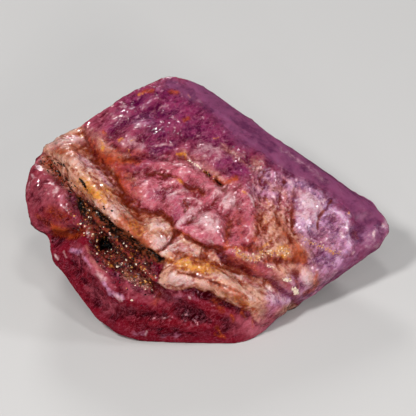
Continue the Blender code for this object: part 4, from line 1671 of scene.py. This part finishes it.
@dataclass(frozen=True)
class Lamp:
    """A soft round light that points at the stone."""

    name: str
    place: tuple[float, float, float]  # metres
    size: float  # metres across
    power: float  # watts
    colour: Colour = (1.0, 1.0, 1.0)
    glints: bool = True  # whether it shows as glints
    target: tuple[float, float, float] = (0.0, 0.0, 0.008)

    def build(self) -> None:
        """Makes the light."""
        data = bpy.data.lights.new(self.name, "AREA")
        data.shape = "DISK"
        data.size = self.size
        data.energy = self.power
        data.color = self.colour
        light = new_piece(self.name, data)
        light.location = self.place
        light.visible_glossy = self.glints
        light.rotation_mode = "QUATERNION"
        light.rotation_quaternion = (Vector(self.target) - Vector(self.place)).to_track_quat("-Z", "Y")


LAMPS = (
    Lamp("key", (-0.12, -0.16, 0.24), 0.05, 0.62),
    Lamp("top", (0.02, -0.06, 0.32), 0.05, 0.16),
    Lamp("front", (0.06, -0.26, 0.14), 0.05, 0.22, (1.0, 0.96, 0.92), glints=False),
    Lamp("side", (0.26, -0.02, 0.16), 0.06, 0.24, (0.94, 0.96, 1.0)),
    Lamp("back", (-0.05, 0.26, 0.16), 0.08, 0.34),
)


@dataclass
class Studio:
    """The floor, the lights and the camera."""

    distance: float = 0.60  # metres from the stone to the camera
    sensor: float = 36.0
    view_width: float = 41.6  # millimetres across the picture, at the stone
    aim: tuple[float, float, float] = (0.0, 13.6, 0.0)  # on the board
    floor_radius: float = 0.9
    floor_gap: float = 0.00002  # metres between the floor and the stone
    ring: int = 6  # small lights round the camera's line of sight, which give the stone its glints
    ring_middle: tuple[float, float, float] = (0.0, 13.0, 0.0)  # on the board
    ring_radius: float = 0.11
    ring_height: float = 0.42
    ring_turn: float = 15.0  # degrees
    surround: tuple[float, float, float, float] = (0.80, 0.82, 0.85, 1.0)
    surround_strength: float = 0.16

    def build(self) -> None:
        """Builds the studio and makes its camera the scene's own."""
        self._floor()
        for lamp in LAMPS:
            lamp.build()
        self._ring_lamps()
        self._surround()
        self._camera()
        bpy.context.scene.view_settings.view_transform = "Standard"

    def _floor(self) -> None:
        """A wide plain floor, just under the stone."""
        mesh = bmesh.new()
        bmesh.ops.create_circle(mesh, cap_ends=True, segments=96, radius=self.floor_radius)
        floor = new_piece("floor", finished_mesh("floor", mesh))
        floor.location.z = -self.floor_gap
        floor.visible_glossy = False
        floor.data.materials.append(FloorFinish().material())

    def _ring_lamps(self) -> None:
        """Small bright lights in a ring over the board."""
        for i in range(self.ring):
            turn = math.radians(360.0 / self.ring * i + self.ring_turn)
            reach = (self.ring_radius * math.cos(turn), self.ring_radius * math.sin(turn), self.ring_height)
            place = BOARD.point(*self.ring_middle) + Vector(np.array(reach) @ BOARD.axes())
            Lamp(f"ring_{i}", tuple(place), 0.008, 0.05).build()

    def _surround(self) -> None:
        """A pale surround that shows in no glint."""
        world = bpy.data.worlds.new("surround")
        world.use_nodes = True
        sockets = world.node_tree.nodes["Background"].inputs
        sockets["Color"].default_value = self.surround
        sockets["Strength"].default_value = self.surround_strength
        world.cycles_visibility.glossy = False
        bpy.context.scene.world = world

    def _camera(self) -> None:
        """A long lens that looks square at the board."""
        data = bpy.data.cameras.new("camera")
        data.sensor_width = self.sensor
        data.lens = self.sensor * self.distance / (self.view_width * MM)
        data.clip_start, data.clip_end = 0.01, 10.0
        camera = new_piece("camera", data)
        camera.location = BOARD.point(*self.aim) + BOARD.out() * self.distance
        camera.rotation_mode = "QUATERNION"
        camera.rotation_quaternion = (-BOARD.out()).to_track_quat("-Z", "Y")
        bpy.context.scene.camera = camera


def main() -> None:
    """Builds everything in order."""
    logging.basicConfig(level=logging.INFO, format="%(name)s: %(message)s")
    Studio().build()
    LOG.info("studio")
    skin = Skin().build()
    LOG.info("%s: %d faces", skin.name, len(skin.data.polygons))
    grains = Grains().build(skin)
    LOG.info("%s: %d faces", grains.name, len(grains.data.polygons))


if __name__ == "__main__":
    main()
